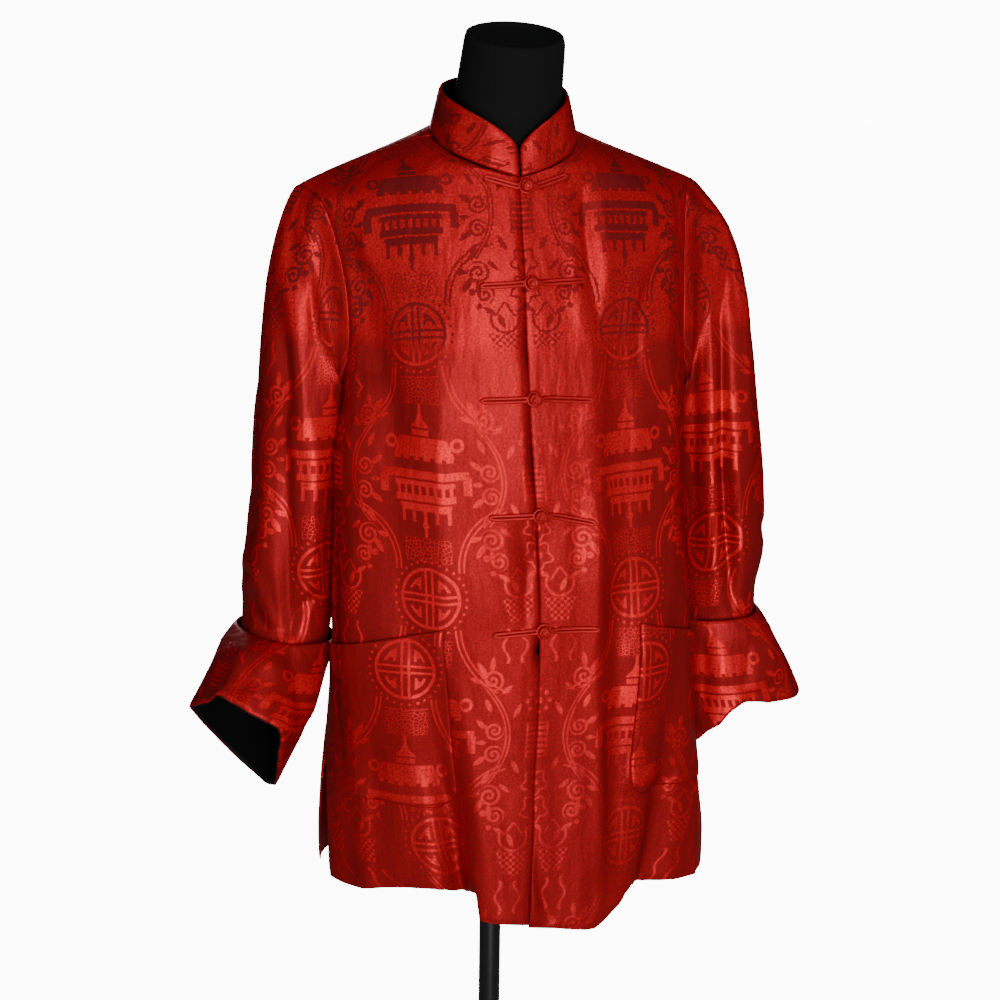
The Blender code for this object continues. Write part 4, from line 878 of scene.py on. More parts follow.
# ---------- sleeves, cuffs, collar
def tube_flat(grid: ndarray) -> ndarray:
    """Flat coordinates of a tube: round it from its outermost line, and down from its top edge.

    Args:
        grid: rings of points.

    Returns:
        Two coordinates per point, the first column repeated at the end.
    """
    closed = np.concatenate([grid, grid[:, :1]], axis=1)
    round_it = run_along(closed, 1)
    round_it = round_it - round_it[:, grid.shape[1] // 2][:, None]
    return np.stack([round_it, closed[:1, :, 2] - run_along(closed, 0)], axis=2)


@dataclass(frozen=True)
class Sleeve:
    """A sleeve, its turned-back cuff and the lining that shows inside the cuff."""

    side: str
    rows: list[Ring]
    cuff_rows: list[Ring]
    mouth: tuple[tuple[float, float], ...]
    fullness: float  # how far the cap bulges as it leaves the armhole
    slack: float = 1.15  # and how straight it comes into the sleeve
    crowding: float = 1.15  # the cap's rings crowd towards the armhole
    level_out: float = 1.8  # the way out is level above the armhole's height over this
    way_turns: int = 7 * LEVEL_CUTS ** 2
    cap_rings: int = 6 * TUBE_CUTS
    droop: float = 0.25  # lean of the cap's way out at the underarm
    outward: float = -0.3  # lean of the way that counts as out of the armhole
    cuff_edge: tuple = (0.0008, 0.003)  # how far its edges are rolled inward, and the reach of that
    cuff_columns: int = 120
    mouth_ease: float = 2.2  # how late along the cuff the pull on its mouth sets in
    lining_from: int = 2 * TUBE_CUTS
    waviness: float = 0.0013

    @property
    def sign(self) -> int:
        """-1 right, 1 left."""
        return dict(SIDES)[self.side]

    def first_way(self, loop: ndarray, facing: ndarray) -> ndarray:
        """The way the cloth leaves the armhole, turned from level at the shoulder to down and out below.

        Args:
            loop: points of the armhole.
            facing: normals of the body there.

        Returns:
            One direction per point.
        """
        height = (loop[:, 2] - loop[:, 2].min()) / np.ptp(loop[:, 2])
        away = unit(np.cross(facing, np.roll(loop, -1, axis=0) - np.roll(loop, 1, axis=0)))
        away *= np.sign(np.sum(away * np.array([self.sign, 0.0, self.outward]), axis=1, keepdims=True))
        blend = np.clip(height * self.level_out, 0.0, 1.0)[:, None]
        way = away * blend + unit(np.array([self.sign, 0.0, -self.droop])) * (1 - blend)
        for _ in range(self.way_turns):
            way = unit(way * 2 + np.roll(way, 1, axis=0) + np.roll(way, -1, axis=0))
        return way

    def plan(self, body: Body) -> tuple[ndarray, ndarray]:
        """Rings and normals of the sleeve; it and the panels get one mitred normal at the armhole.

        Args:
            body: the body, whose normals at the armhole are changed.

        Returns:
            The rings and the normals.
        """
        loop, facing = body.armhole(self.side)
        lower = ring_rows(self.rows, len(loop), self.sign, 2 * TUBE_CUTS)
        way = self.first_way(loop, facing)
        start = loop + way * SEAM
        span = np.linalg.norm(lower[0] - start, axis=1, keepdims=True)
        end_way = unit(lower[TUBE_CUTS] - lower[0])
        rings = []
        for step in range(self.cap_rings):
            t = (step / self.cap_rings) ** self.crowding
            rings.append((1 + 2 * t) * (1 - t) ** 2 * start + t * t * (3 - 2 * t) * lower[0]
                         + t * (1 - t) ** 2 * way * span * self.fullness
                         + t * t * (t - 1) * end_way * span * self.slack)
        grid = np.concatenate([np.array(rings), lower])
        around = tube_normals(grid)
        around[0] = unit(around[0] + facing)
        body.meet_sleeve(self.side, around[0])
        return grid, around

    def mouth_pull(self, rows: int, columns: int) -> ndarray:
        """Shift of the cuff's points that presses corners into its mouth.

        Args:
            rows: rings of the cuff.
            columns: points per ring.

        Returns:
            One shift per point.
        """
        turns = np.arange(columns) / columns * len(self.mouth)
        across, up = (np.interp(turns, np.arange(len(self.mouth) + 1), (*shifts, shifts[0])) / MM
                      for shifts in zip(*self.mouth))
        share = np.linspace(0, 1, rows)[:, None] ** self.mouth_ease
        return np.stack([share * across, np.zeros((rows, columns)), share * up], axis=2)

    def cloths(self, grid: ndarray, around: ndarray) -> list[Cloth]:
        """The sleeve, its cuff and the cuff's lining.

        Args:
            grid: rings of the sleeve.
            around: their normals.

        Returns:
            The three sheets.
        """
        run = run_along(grid, 0)
        sleeve = Cloth("sleeve_" + self.side, grid, around, tube_flat(grid), True).creased(self.waviness, run)
        sleeve.roll_edge(run)
        rings = ring_rows(self.cuff_rows, self.cuff_columns, self.sign, 1.5 * TUBE_CUTS)
        rings += self.mouth_pull(*rings.shape[:2])
        facing = tube_normals(rings)
        cuff = Cloth("cuff_" + self.side, rings, facing, tube_flat(rings), True).creased()
        run = run_along(rings, 0)
        for distance in (run, run[-1:] - run):
            cuff.roll_edge(distance, *self.cuff_edge)
        return [sleeve, cuff, cuff.lined("cuff_lining_" + self.side, slice(self.lining_from, None))]


@dataclass(frozen=True)
class Collar:
    """The stiffened stand collar, open at the front, and the black lining inside it."""

    low: float = 1.396  # height of its top edge at the opening
    rise: float = 0.066  # rise of its top edge from the opening to the nape
    curve: float = 0.55  # how early it rises
    lean: float = 0.0095  # the collar closes in towards its top
    wall: float = 0.0022
    gap: float = 0.8  # degrees between the opening and each end
    columns: int = 181
    rows: int = 19
    weave_start: float = 0.03
    clear: float = SEAM * 3  # space over the neckline
    waviness: float = 0.0003
    edge: tuple = (0.0007, 0.0022)

    def point(self, degrees: float, share: float) -> ndarray:
        """Point of the collar.

        Args:
            degrees: angle round the neck, negative on the wearer's right.
            share: 0 at the neckline seam, 1 at the top edge.

        Returns:
            The point.
        """
        angle = abs(degrees)
        low = neckline(angle, 1 if degrees >= 0 else -1)
        top = self.low + self.rise * math.sin(math.radians(angle) / 2) ** self.curve
        radial = unit(np.array([low[0] - NECK_X, low[1] - NECK_Y]))
        height = low[2] + self.clear + (top - low[2]) * share
        return np.array([*(low[:2] - radial * (self.lean * share)), height])

    def cloths(self) -> list[Cloth]:
        """The collar and its lining."""
        turned = [a if a < 180 else a - 360 for a in np.linspace(self.gap, 360 - self.gap, self.columns)]
        grid = np.array([[self.point(a, share) for a in turned] for share in np.linspace(0, 1, self.rows)])
        middle = grid.copy()
        middle[..., :2] = NECK_X, NECK_Y
        across, up = run_along(grid, 1), run_along(grid, 0)
        flat = np.stack([across, up + self.weave_start], axis=2)
        collar = Cloth("collar", grid, grid_normals(grid, middle), flat, wall=self.wall).creased(self.waviness)
        for run in (across, across[:, -1:] - across, up, up[-1:] - up):
            collar.roll_edge(run, *self.edge)
        return [collar, collar.lined("collar_lining", slice(None))]


# ---------- pieces on the fronts
@dataclass
class Front:
    """A finished front that other pieces are laid on."""

    cloth: Cloth
    sign: int
    samples: int = 41
    turns: int = 6
    step: float = 0.05  # level difference over which a slope is taken

    def at(self, place: float, level: float) -> tuple[ndarray, ndarray, ndarray]:
        """What lies at a place and level.

        Args:
            place: share of the way from the opening to the outer edge.
            level: the row.

        Returns:
            Point, normal and flat coordinates.
        """
        row = int(np.clip(np.searchsorted(LEVELS, level, "right") - 1, 0, len(LEVELS) - 2))
        column = int(np.clip(np.searchsorted(PLACES, place, "right") - 1, 0, len(PLACES) - 2))
        v = (level - LEVELS[row]) / (LEVELS[row + 1] - LEVELS[row])
        u = (place - PLACES[column]) / (PLACES[column + 1] - PLACES[column])
        mixed = []
        for values in (self.cloth.grid, self.cloth.normals, self.cloth.flat):
            low, high = (line[column] * (1 - u) + line[column + 1] * u for line in values[row:row + 2])
            mixed.append(low * (1 - v) + high * v)
        return mixed[0], unit(mixed[1]), mixed[2]

    def level_of(self, z: float) -> float:
        """Level at which the opening edge has a given height."""
        return float(np.interp(z, [row.z_in for row in FRONT_ROWS[:NECK_ROW + 1]], range(NECK_ROW + 1)))

    def over(self, x: float, z: float) -> tuple[ndarray, ndarray]:
        """Point and normal of the front at a given x and height, closed in on in a few turns.

        Args:
            x: across position.
            z: height.

        Returns:
            The point and the normal.
        """
        samples = np.linspace(0, 1, self.samples)
        level, place, step = self.level_of(z), 0.0, self.step
        for _ in range(self.turns):
            line = np.array([self.at(s, level)[0] for s in samples])
            place = float(np.interp(x * self.sign, np.maximum.accumulate(line[:, 0] * self.sign), samples))
            height = self.at(place, level)[0][2]
            above = self.at(place, min(level + step, TOP_ROW))[0][2]
            level = min(max(level + (z - height) / max((above - height) / step, 1e-4), 0.0), TOP_ROW - 0.1)
        return self.at(place, level)[:2]


@dataclass(frozen=True)
class PatchPocket:
    """A patch pocket on a front, rounded at its lower corners, its mouth standing slightly open."""

    side: str
    first: float  # first and last place on the front that it covers
    last: float
    z_in: float  # heights of its mouth at both ends and of its bottom
    z_out: float
    z_bottom: float
    slip: tuple[float, float]  # how far its figure lies off the front's
    corner: float = 0.032
    lay: float = 0.0012  # it stands a little off the front
    gape: float = 0.0024  # and more at its mouth,
    gape_from: float = 0.7  # above this share of its height
    middle_level: float = 4.5
    # Shares of its height at which its rows stand, each with the steps up to it.
    rows: tuple = ((0.06, 4), (0.94, 51), (1.0, 5))
    edge: tuple = (0.0007, 0.004)
    mouth_edge: tuple = (0.0004, 0.003)

    def cloth(self, front: Front) -> Cloth:
        """The pocket as a sheet laid on its front."""
        places = PLACES[(PLACES >= self.first - 1e-6) & (PLACES <= self.last + 1e-6)]
        shares = [0.0]
        for end, steps in self.rows:
            shares += np.linspace(shares[-1], end, steps + 1)[1:].tolist()
        line = np.array([front.at(place, self.middle_level)[0] for place in places])
        run = run_along(line[:, None], 0)[:, 0]
        grid, facing = np.zeros((2, len(shares), len(places), 3))
        flat = np.zeros((len(shares), len(places), 2))
        for k, place in enumerate(places):
            across = run[k] / run[-1]
            inset = max(1 - min(run[k], run[-1] - run[k]) / self.corner, 0.0)
            lift = self.corner * (1 - math.sqrt(max(1 - inset ** 2, 0.0)))
            low = front.level_of(self.z_bottom + lift)
            high = front.level_of(self.z_in + (self.z_out - self.z_in) * across)
            for r, share in enumerate(shares):
                point, normal, spot = front.at(place, low + (high - low) * share)
                open_by = max(share - self.gape_from, 0.0) / (1 - self.gape_from) * math.sin(math.pi * across)
                grid[r, k] = point + normal * (CLOTH + self.lay + self.gape * open_by)
                facing[r, k] = normal
                flat[r, k] = spot + self.slip
        cloth = Cloth("pocket_" + self.side, grid, facing, flat)
        up, along = run_along(grid, 0), run_along(grid, 1)
        for distance in (up, along, along[:, -1:] - along):
            cloth.roll_edge(distance, *self.edge)
        cloth.roll_edge(up[-1:] - up, *self.mouth_edge)
        return cloth


POCKETS = (
    PatchPocket("right", 0.27, 0.95, 0.932, 0.890, 0.732, (-0.025, 0.074)),
    PatchPocket("left", 0.34, 0.95, 0.926, 0.886, 0.738, (-0.010, 0.088)),
)


def smoothed(path: ndarray, closed: bool) -> ndarray:
    """A path with its corners softened; an open one keeps its ends."""
    for _ in range(2):
        if closed:
            path = (np.roll(path, 1, axis=0) + path * 2 + np.roll(path, -1, axis=0)) / 4
        else:
            path = np.concatenate([path[:1], (path[:-2] + path[1:-1] * 2 + path[2:]) / 4, path[-1:]])
    return path


CORD_SIDES = 10
CORD_SIDE = (0.3, 0.9, 0.31)  # a way that no cord here starts along
CORD_CAP = ((0.62, 0.62), (0.30, 0.93))  # rings of a rounded end: how far out and how wide, in radii


def cord(name: str, path: ndarray, radius: float, closed: bool = False) -> Object:
    """Round cord along a path, with rounded ends when it is open.

    Args:
        name: its name.
        path: points along its middle.
        radius: its radius.
        closed: whether the last point runs on into the first.

    Returns:
        The cord.
    """
    if closed:
        along = unit(np.roll(path, -1, axis=0) - np.roll(path, 1, axis=0))
    else:
        along = unit(np.gradient(path, axis=0))
    side = unit(np.cross(along[0], np.array(CORD_SIDE)))
    turns = np.arange(CORD_SIDES)[:, None] * math.tau / CORD_SIDES
    rings = []
    for point, way in zip(path, along):
        side = unit(side - way * (side @ way))
        rings.append(point + radius * (np.cos(turns) * side + np.sin(turns) * np.cross(way, side)))
    if not closed:
        first, last = ([path[end] + turn * along[end] * radius * out + (rings[end] - path[end]) * share
                        for out, share in CORD_CAP] for end, turn in ((0, -1), (-1, 1)))
        rings = first + rings + last[::-1]
    return closed_object(name, np.array(rings), Kind.CORD, closed)


def joined(name: str, pieces: list[Object]) -> Object:
    """One object from several, of which the first is kept."""
    bpy.ops.object.select_all(action="DESELECT")
    for piece in pieces:
        piece.select_set(True)
    bpy.context.view_layer.objects.active = pieces[0]
    bpy.ops.object.join()
    pieces[0].name = pieces[0].data.name = name
    return pieces[0]


@dataclass(frozen=True)
class Seat:
    """Where a knot sits: its middle and its own three ways."""

    middle: ndarray
    across: ndarray
    upright: ndarray
    facing: ndarray

    def raised(self, height: float) -> "Seat":
        """The same seat, higher over the cloth."""
        return replace(self, middle=self.middle + self.facing * height)

    def arc(self, radius: float, degrees: Iterable[float]) -> ndarray:
        """Points of an arc round the middle, in the plane of the cloth."""
        return np.array([self.middle + (self.across * math.cos(a) + self.upright * math.sin(a)) * radius
                         for a in np.radians(degrees)])


@dataclass(frozen=True)
class Frog:
    """Knotted closure: a looped double cord on the right front, a ball knot on the left one."""

    number: int
    z: float  # height of the knot
    reach_right: float  # reach of each bar and how far its end rises
    reach_left: float
    rise_right: float
    rise_left: float
    lift: float = 0.0  # more height over the cloth, beside the collar
    knot: float = 0.0062  # radius of the ball knot
    shift: float = 0.0035  # the knots sit a little to the left of the opening
    bar_start: float = 1.25  # in radii of the knot
    bar_clear: float = 2.4  # more on the left; this and the next ones in radii of the cord
    bar_gap: float = 1.02  # half the gap of the double cord
    bar_lie: float = 0.75  # heights of bar and loop over the cloth
    loop_lie: float = 0.9
    neck_rise: float = 1.2  # height at which the ball runs on into its bar
    loop_cord: float = 0.95  # thickness in the bars and in the ball
    wind_cord: float = 0.88
    wind_inset: float = 0.8
    bar_points: int = 15
    turn_points: int = 7
    loop_gap: float = 0.0006
    loop_turn: float = 200.0  # degrees from the left to each end of the loop's ring
    loop_points: int = 30
    wind_points: int = 28
    ball_rise: float = 0.62  # in radii of the knot
    ball_squash: float = 0.12
    core_size: float = 0.86
    near: tuple = (0.5, -0.3)  # where the bar starts in the ball, across and up
    # Rounds of cord that make the ball: how far each is tipped and turned, in degrees.
    winds: tuple = ((20, 0), (75, 40), (-55, 100), (10, 150), (60, -60))

    @property
    def level(self) -> float:
        """Height of the loop's cord over the middle of the cloth."""
        return CLOTH / 2 + LAY + CORD * self.loop_lie + self.lift

    @property
    def loop_radius(self) -> float:
        """Radius of the loop round the knot."""
        return self.knot + self.loop_gap

    def seat(self, right: Front, left: Front) -> Seat:
        """Where the knot sits over the opening.

        Args:
            right: the right front.
            left: the left front.

        Returns:
            The seat, on the cloth.
        """
        middle_x = (right.over(-0.0045, self.z)[0][0] + left.over(0.0, self.z)[0][0]) / 2
        middle, facing = left.over(middle_x + 0.001, self.z)
        across = unit(np.cross(np.array([0.0, 0.0, 1.0]), facing))
        across *= 1 if across[0] > 0 else -1
        upright = np.cross(facing, across)
        upright *= 1 if upright[2] > 0 else -1
        return Seat(middle + (self.shift, 0.0, 0.0), across, upright, facing)

    def bar(self, front: Front, x: float) -> ndarray:
        """Path of a bar's double cord: out along one side, round its end and back on the other.

        Args:
            front: the front it is sewn on.
            x: across position of the knot.

        Returns:
            The path.
        """
        start = self.knot * self.bar_start
        reach, rise = self.reach_right, self.rise_right
        if front.sign > 0:
            start, reach, rise = start + CORD * self.bar_clear, self.reach_left, self.rise_left
        found = [front.over(x + front.sign * (start + (reach - start) * share), self.z + rise * share)
                 for share in np.linspace(0, 1, self.bar_points)]
        points, normals = (np.array(values) for values in zip(*found))
        along = unit(np.gradient(points, axis=0))
        aside = unit(np.cross(normals, along))
        gap = CORD * self.bar_gap
        middle = points + normals * (CLOTH / 2 + LAY + CORD * self.bar_lie)
        end = middle[-1] - along[-1] * gap
        turn = [end + (aside[-1] * math.cos(a) + along[-1] * math.sin(a)) * gap
                for a in np.linspace(0, math.pi, self.turn_points)[1:-1]]
        out, home = (middle + aside * gap)[:-1], (middle - aside * gap)[:-1]
        return np.concatenate([out, turn, home[::-1]])

    def loop(self, seat: Seat, right: Front) -> Object:
        """The looped half, one cord that runs round the knot and along the bar.

        Args:
            seat: where the knot sits.
            right: the right front.

        Returns:
            The piece.
        """
        turns = np.linspace(self.loop_turn, -self.loop_turn, self.loop_points)
        ring = seat.raised(self.level).arc(self.loop_radius, turns)
        bar = self.bar(right, seat.middle[0])
        if np.linalg.norm(ring[-1] - bar[0]) > np.linalg.norm(ring[-1] - bar[-1]):
            bar = bar[::-1]
        path = smoothed(np.concatenate([ring, bar]), True)
        return cord("frog_%d_loop_look" % self.number, path, CORD * self.loop_cord, closed=True)

    def ball_knot(self, seat: Seat, left: Front) -> Object:
        """The knotted half: a ball wound from one cord, whose two ends run on as the bar.

        Args:
            seat: where the knot sits.
            left: the left front.

        Returns:
            The piece.
        """
        base = seat.raised(self.level)
        ball = base.raised(CORD * self.loop_lie + self.knot * self.ball_rise)
        across, upright, facing = seat.across, seat.upright, seat.facing
        pieces = [self.core(ball)]
        turns = np.arange(self.wind_points)[:, None] * math.tau / self.wind_points
        for k, (tip, spin) in enumerate(np.radians(self.winds)):
            one = unit(across * math.cos(spin) + upright * math.sin(spin))
            other = unit(np.cross(facing, one) * math.cos(tip) + facing * math.sin(tip))
            wind = (one * np.cos(turns) + other * np.sin(turns)) * (self.knot - CORD * self.wind_inset)
            wind -= np.outer(wind @ facing, facing) * self.ball_squash
            pieces.append(cord("wind_%d" % k, ball.middle + wind, CORD * self.wind_cord, closed=True))
        bar = self.bar(left, seat.middle[0])
        neck = base.middle + facing * (CORD * self.neck_rise) + across * (self.loop_radius + CORD)
        near = ball.middle + (across * self.near[0] + facing * self.near[1]) * self.knot
        step = upright * CORD * (0.5 if bar[0] @ upright >= bar[-1] @ upright else -0.5)
        arms = np.concatenate([[near, neck + step], bar, [neck - step, near]])
        pieces.append(cord("arms", smoothed(arms, False), CORD * self.loop_cord))
        return joined("frog_%d_knot_look" % self.number, pieces)

    def core(self, ball: Seat) -> Object:
        """Solid middle of the ball knot."""
        work = bmesh.new()
        bmesh.ops.create_uvsphere(work, u_segments=20, v_segments=12, radius=self.knot * self.core_size)
        for vert in work.verts:
            x, y, z = vert.co
            vert.co = tuple(ball.middle + ball.across * x + ball.upright * y + ball.facing * z * self.core_size)
        made = mesh_object("core", [], [])
        work.to_mesh(made.data)
        work.free()
        made.data.shade_smooth()
        made.data.materials.append(material(Kind.CORD))
        return made


FROGS = [Frog(number, *(value / MM for value in row)) for number, row in enumerate((
    (1364.5, 40, 42, 9, 9, 0.6),
    (1273.5, 50, 54, -2, 1),
    (1162.0, 52, 60, -1, -4),
    (1046.0, 50, 56, -1, -10),
    (928.0, 50, 56, -3, -1),
), 1)]


# ---------- figured silk, worked out by nodes
def feed(spot: NodeSocket, value: object) -> None:
    """Links an input of a node to a field or socket, or sets it to a plain value."""
    source = getattr(value, "source", value)
    if isinstance(source, NodeSocket):
        spot.id_data.links.new(source, spot)
    else:
        spot.default_value = source


def feed_all(sockets: bpy.types.bpy_prop_collection, values: dict) -> None:
    """Feeds the named or numbered sockets."""
    for key, value in values.items():
        feed(sockets[key], value)


def add_node(tree: NodeTree, kind: str, inputs: dict | None = None, **settings: object) -> Node:
    """A new shader node.

    Args:
        tree: the tree it is added to.
        kind: its type, without the words that start every shader node's.
        inputs: what its inputs are fed, by name or number.
        settings: its own properties.

    Returns:
        The node.
    """
    node = tree.nodes.new("ShaderNode" + kind)
    for name, value in settings.items():
        setattr(node, name, value)
    feed_all(node.inputs, inputs or {})
    return node


@dataclass(frozen=True)
class Field:
    """A number that a node tree works out at each shaded point."""

    tree: NodeTree
    source: NodeSocket | float

    def apply(self, operation: str, *others: "Field | float", clamp: bool = False) -> "Field":
        """One Math node on this number and others; a clamped result is kept between 0 and 1."""
        inputs = dict(enumerate((self, *others)))
        node = add_node(self.tree, "Math", inputs, operation=operation, use_clamp=clamp)
        return Field(self.tree, node.outputs[0])

    __add__ = partialmethod(apply, "ADD")
    __sub__ = partialmethod(apply, "SUBTRACT")
    __mul__ = partialmethod(apply, "MULTIPLY")
    __truediv__ = partialmethod(apply, "DIVIDE")
    __pow__ = partialmethod(apply, "POWER")
    __neg__ = partialmethod(apply, "MULTIPLY", -1.0)
    __abs__ = partialmethod(apply, "ABSOLUTE")

    def __rsub__(self, other: float) -> "Field":
        """Difference from a plain number."""
        return Field(self.tree, float(other)) - self

    def clamped(self) -> "Field":
        """This number kept between 0 and 1."""
        return self.apply("ADD", 0.0, clamp=True)

    def ramp(self, start: float, end: float) -> "Field":
        """0 up to one value of this number, 1 from another, even in between."""
        return ((self - start) / (end - start)).clamped()

    def wrap(self, span: float) -> "Field":
        """This number folded into half a span either side of zero."""
        return self.apply("WRAP", span / 2, -span / 2)

    def within(self, low: float, high: float) -> "Field":
        """Distance outside a range, negative inside it."""
        return abs(self - (low + high) / 2) - (high - low) / 2

    def line(self, at: float, half: float) -> "Field":
        """Distance from a stripe round a value of this number, negative on it."""
        return abs(self - at) - half


def both(*fields: Field) -> Field:
    """Distance from what lies in all of the shapes."""
    return reduce(lambda one, other: one.apply("MAXIMUM", other), fields)


def either(*fields: Field) -> Field:
    """Distance from what lies in any of the shapes."""
    return reduce(lambda one, other: one.apply("MINIMUM", other), fields)


@dataclass(frozen=True)
class Plane:
    """A plane of the figure: two coordinates in centimetres and the vector made of them."""

    x: Field
    y: Field
    vector: NodeSocket

    @staticmethod
    def of(x: Field, y: Field) -> "Plane":
        """Joins two numbers into a plane."""
        return Plane(x, y, add_node(x.tree, "CombineXYZ", {0: x, 1: y}).outputs[0])

    def far(self, x: float, y: float) -> Field:
        """Distance from a point of the plane."""
        node = add_node(self.x.tree, "VectorMath", {0: self.vector, 1: (x, y, 0.0)}, operation="DISTANCE")
        return Field(self.x.tree, node.outputs["Value"])

    def angle(self, x: float, y: float) -> Field:
        """Angle round a point of the plane."""
        return (self.y - y).apply("ARCTAN2", self.x - x)

    def leaf(self, x: float, y: float, long: float, wide: float, lean: float) -> Field:
        """Distance from a pointed leaf.

        Args:
            x: across its middle.
            y: height of its middle.
            long: half its length.
            wide: half its width.
            lean: degrees from upright.

        Returns:
            The distance.
        """
        bend = (long * long + wide * wide) / (2 * wide)
        across = math.cos(math.radians(lean)) * (bend - wide)
        up = -math.sin(math.radians(lean)) * (bend - wide)
        return both(self.far(x + across, y + up), self.far(x - across, y - up)) - bend

    def spiral(self, x: float, y: float, reach: float, turn: float, start: float) -> Field:
        """Distance from a flat coil.

        Args:
            x: across its middle.
            y: height of its middle.
            reach: its radius.
            turn: gap between its rounds, negative to coil the other way.
            start: where its outer end lies, in rounds.

        Returns:
            The distance.
        """
        far = self.far(x, y)
        round_it = self.angle(x, y) / math.tau * math.copysign(1.0, turn)
        coil = ((far / abs(turn)) - round_it - start).wrap(1.0)
        return both(abs(coil) * abs(turn) - 0.15, far - reach)

    def beads(self, y: float, radius: float, count: int, half: float) -> Field:
        """Distance from a ring of so many beads round a point of the mirror line; half is a bead's radius."""
        aside = (self.angle(0, y) / (math.tau / count)).wrap(1.0) * (math.tau / count * radius)
        return (aside * aside + (self.far(0, y) - radius) ** 2.0) ** 0.5 - half

    def blossom(self, y: float, radius: float, wave: float, half: float, heart: float) -> Field:
        """Distance from a five-petalled outline and its round heart, on the mirror line."""
        petals = self.far(0, y) + (self.angle(0, y) * 5.0).apply("SINE") * wave
        return either(petals.line(radius, half), self.far(0, y) - heart)


def medallion(p: Plane) -> Field:
    """Round fret: a ring, crossed double bars, a hook in each quarter and beads round it."""
    a, v, far = p.x, abs(p.y), p.far(0, 0)
    bars = both(far - 3.0, either(a.line(0.34, 0.14), v.line(0.34, 0.14)))
    arcs = both(a.within(0.85, 9), v.within(0.85, 9), far.line(2.15, 0.16))
    hooks = either(both(a.line(1.02, 0.15), v.within(0.85, 1.9)), both(v.line(1.35, 0.14), a.within(1.0, 1.45)))
    return either(far.line(2.98, 0.17), bars, arcs, hooks, p.beads(0, 3.72, 30, 0.15))


def ogee(p: Plane) -> Field:
    """Double strips that leave the round fret and swing out to the scrolls."""
    upper = both(abs(p.far(9.6, 3.0).line(6.3, 0.0) - 0.24) - 0.10, p.y.within(2.7, 9.2), p.x.within(-9, 8.0))
    lower = both(abs(p.far(10.5, -2.6).line(7.7, 0.0) - 0.24) - 0.10, p.y.within(-9.6, -3.1))
    return either(upper, lower)


def nets(p: Plane) -> Field:
    """Fine netting above and below the round fret, and the drops that end it."""
    cells = add_node(p.x.tree, "TexVoronoi", {"Scale": 2.6, "Vector": p.vector}, voronoi_dimensions="2D",
                     feature="DISTANCE_TO_EDGE")
    mesh = Field(p.x.tree, cells.outputs["Distance"]) - 0.085
    zone = either(both(p.x.within(-9, 2.5), p.y.within(3.7, 6.1)),
                  both(p.x.within(-9, 2.2), p.y.within(-7.0, -4.1)))
    stem = p.x.line(0, 0.16)
    drops = either(p.far(0, 7.4) - 0.35, both(stem, p.y.within(6.2, 8.3)),
                   p.far(0, -8.3) - 0.35, both(stem, p.y.within(-9.2, -7.0)))
    return either(both(mesh, zone), drops)


def censer(p: Plane) -> Field:
    """Hanging censer: a knob, a curved roof, a long rail, a windowed body and a fringe."""
    a, y = p.x, p.y
    knob = either(both(y.within(3.3, 4.3), a - (4.3 - y) * 0.85), both(y.within(2.7, 3.15), a - 0.75))
    roof = both(y.within(0.75, 2.55), a - 2.75 + (y - 0.75) * 0.38)
    scallops = both(y.within(0.62, 1.02), abs(a.wrap(0.9)) - 0.16)
    curls = p.far(2.85, 2.05).line(0.42, 0.14)
    rail = either(both(y.line(-0.35, 0.32), a - 3.6), both(a.line(3.45, 0.33), y.within(-1.9, -0.5)))
    body = both(y.within(-2.45, -0.85), a - 2.5)
    windows = both(y.within(-1.9, -1.25), abs(a.wrap(0.62)) - 0.17)
    foot = both(y.within(-3.2, -2.6), a - 2.2 + (-2.6 - y) * 0.3)
    fringe = both(y.within(-4.1, -3.1), abs(a.wrap(0.95)) - 0.15, a - 2.2)
    return either(knob, both(roof, -scallops), curls, rail, both(body, -windows), foot, fringe)


# Leaves and coils of the vine scroll, as leaf and spiral take them.
SCROLL_LEAVES = (
    (5.75, 7.45, 0.95, 0.32, 32), (4.70, 8.05, 0.85, 0.28, -6), (6.25, 6.35, 0.75, 0.26, 70),
    (5.65, -6.75, 0.95, 0.32, 148), (4.60, -7.35, 0.85, 0.28, 186), (6.15, -5.60, 0.75, 0.26, 110),
    (5.65, 1.75, 0.80, 0.28, 52), (5.65, -1.95, 0.80, 0.28, 128), (5.60, -0.10, 0.55, 0.24, 90),
    (2.15, 3.20, 0.85, 0.28, -28), (2.10, -2.70, 0.85, 0.28, 208), (5.05, 3.75, 0.80, 0.28, 24),
    (5.00, -3.75, 0.80, 0.28, 156), (3.25, 5.40, 0.70, 0.24, -50), (3.15, -4.90, 0.70, 0.24, 230),
)
SCROLL_COILS = (
    (4.7, 6.4, 1.15, 0.62, 0.1), (4.6, -5.7, 1.15, -0.62, 0.1),
    (4.35, 1.15, 0.98, -0.55, 0.4), (4.35, -1.35, 0.98, 0.55, 0.4),
)


def scroll(p: Plane) -> Field:
    """Tall vine scroll: a double stem bowed to the mirror line, with coils at its ends and side."""
    stem = abs(p.x - 3.0 - (p.y - 0.4) ** 2.0 * 0.085) * 0.9
    return either(both(stem.line(0.17, 0.09), p.y.within(-4.4, 5.4)),
                  *[p.spiral(*row) for row in SCROLL_COILS], *[p.leaf(*row) for row in SCROLL_LEAVES])


def axis_objects(p: Plane) -> Field:
    """What stands on the mirror line between the scrolls: a banded vase, a blossom and beads."""
    body = p.y.within(-1.8, 1.8)
    vase = both(p.x - 1.15, body, abs(p.y.wrap(0.62)) - 0.17)
    return either(vase, both(p.x.line(1.05, 0.12), body), p.blossom(-4.5, 1.15, 0.22, 0.13, 0.35),
                  p.beads(4.1, 1.15, 8, 0.24), p.far(0, 4.1) - 0.4)


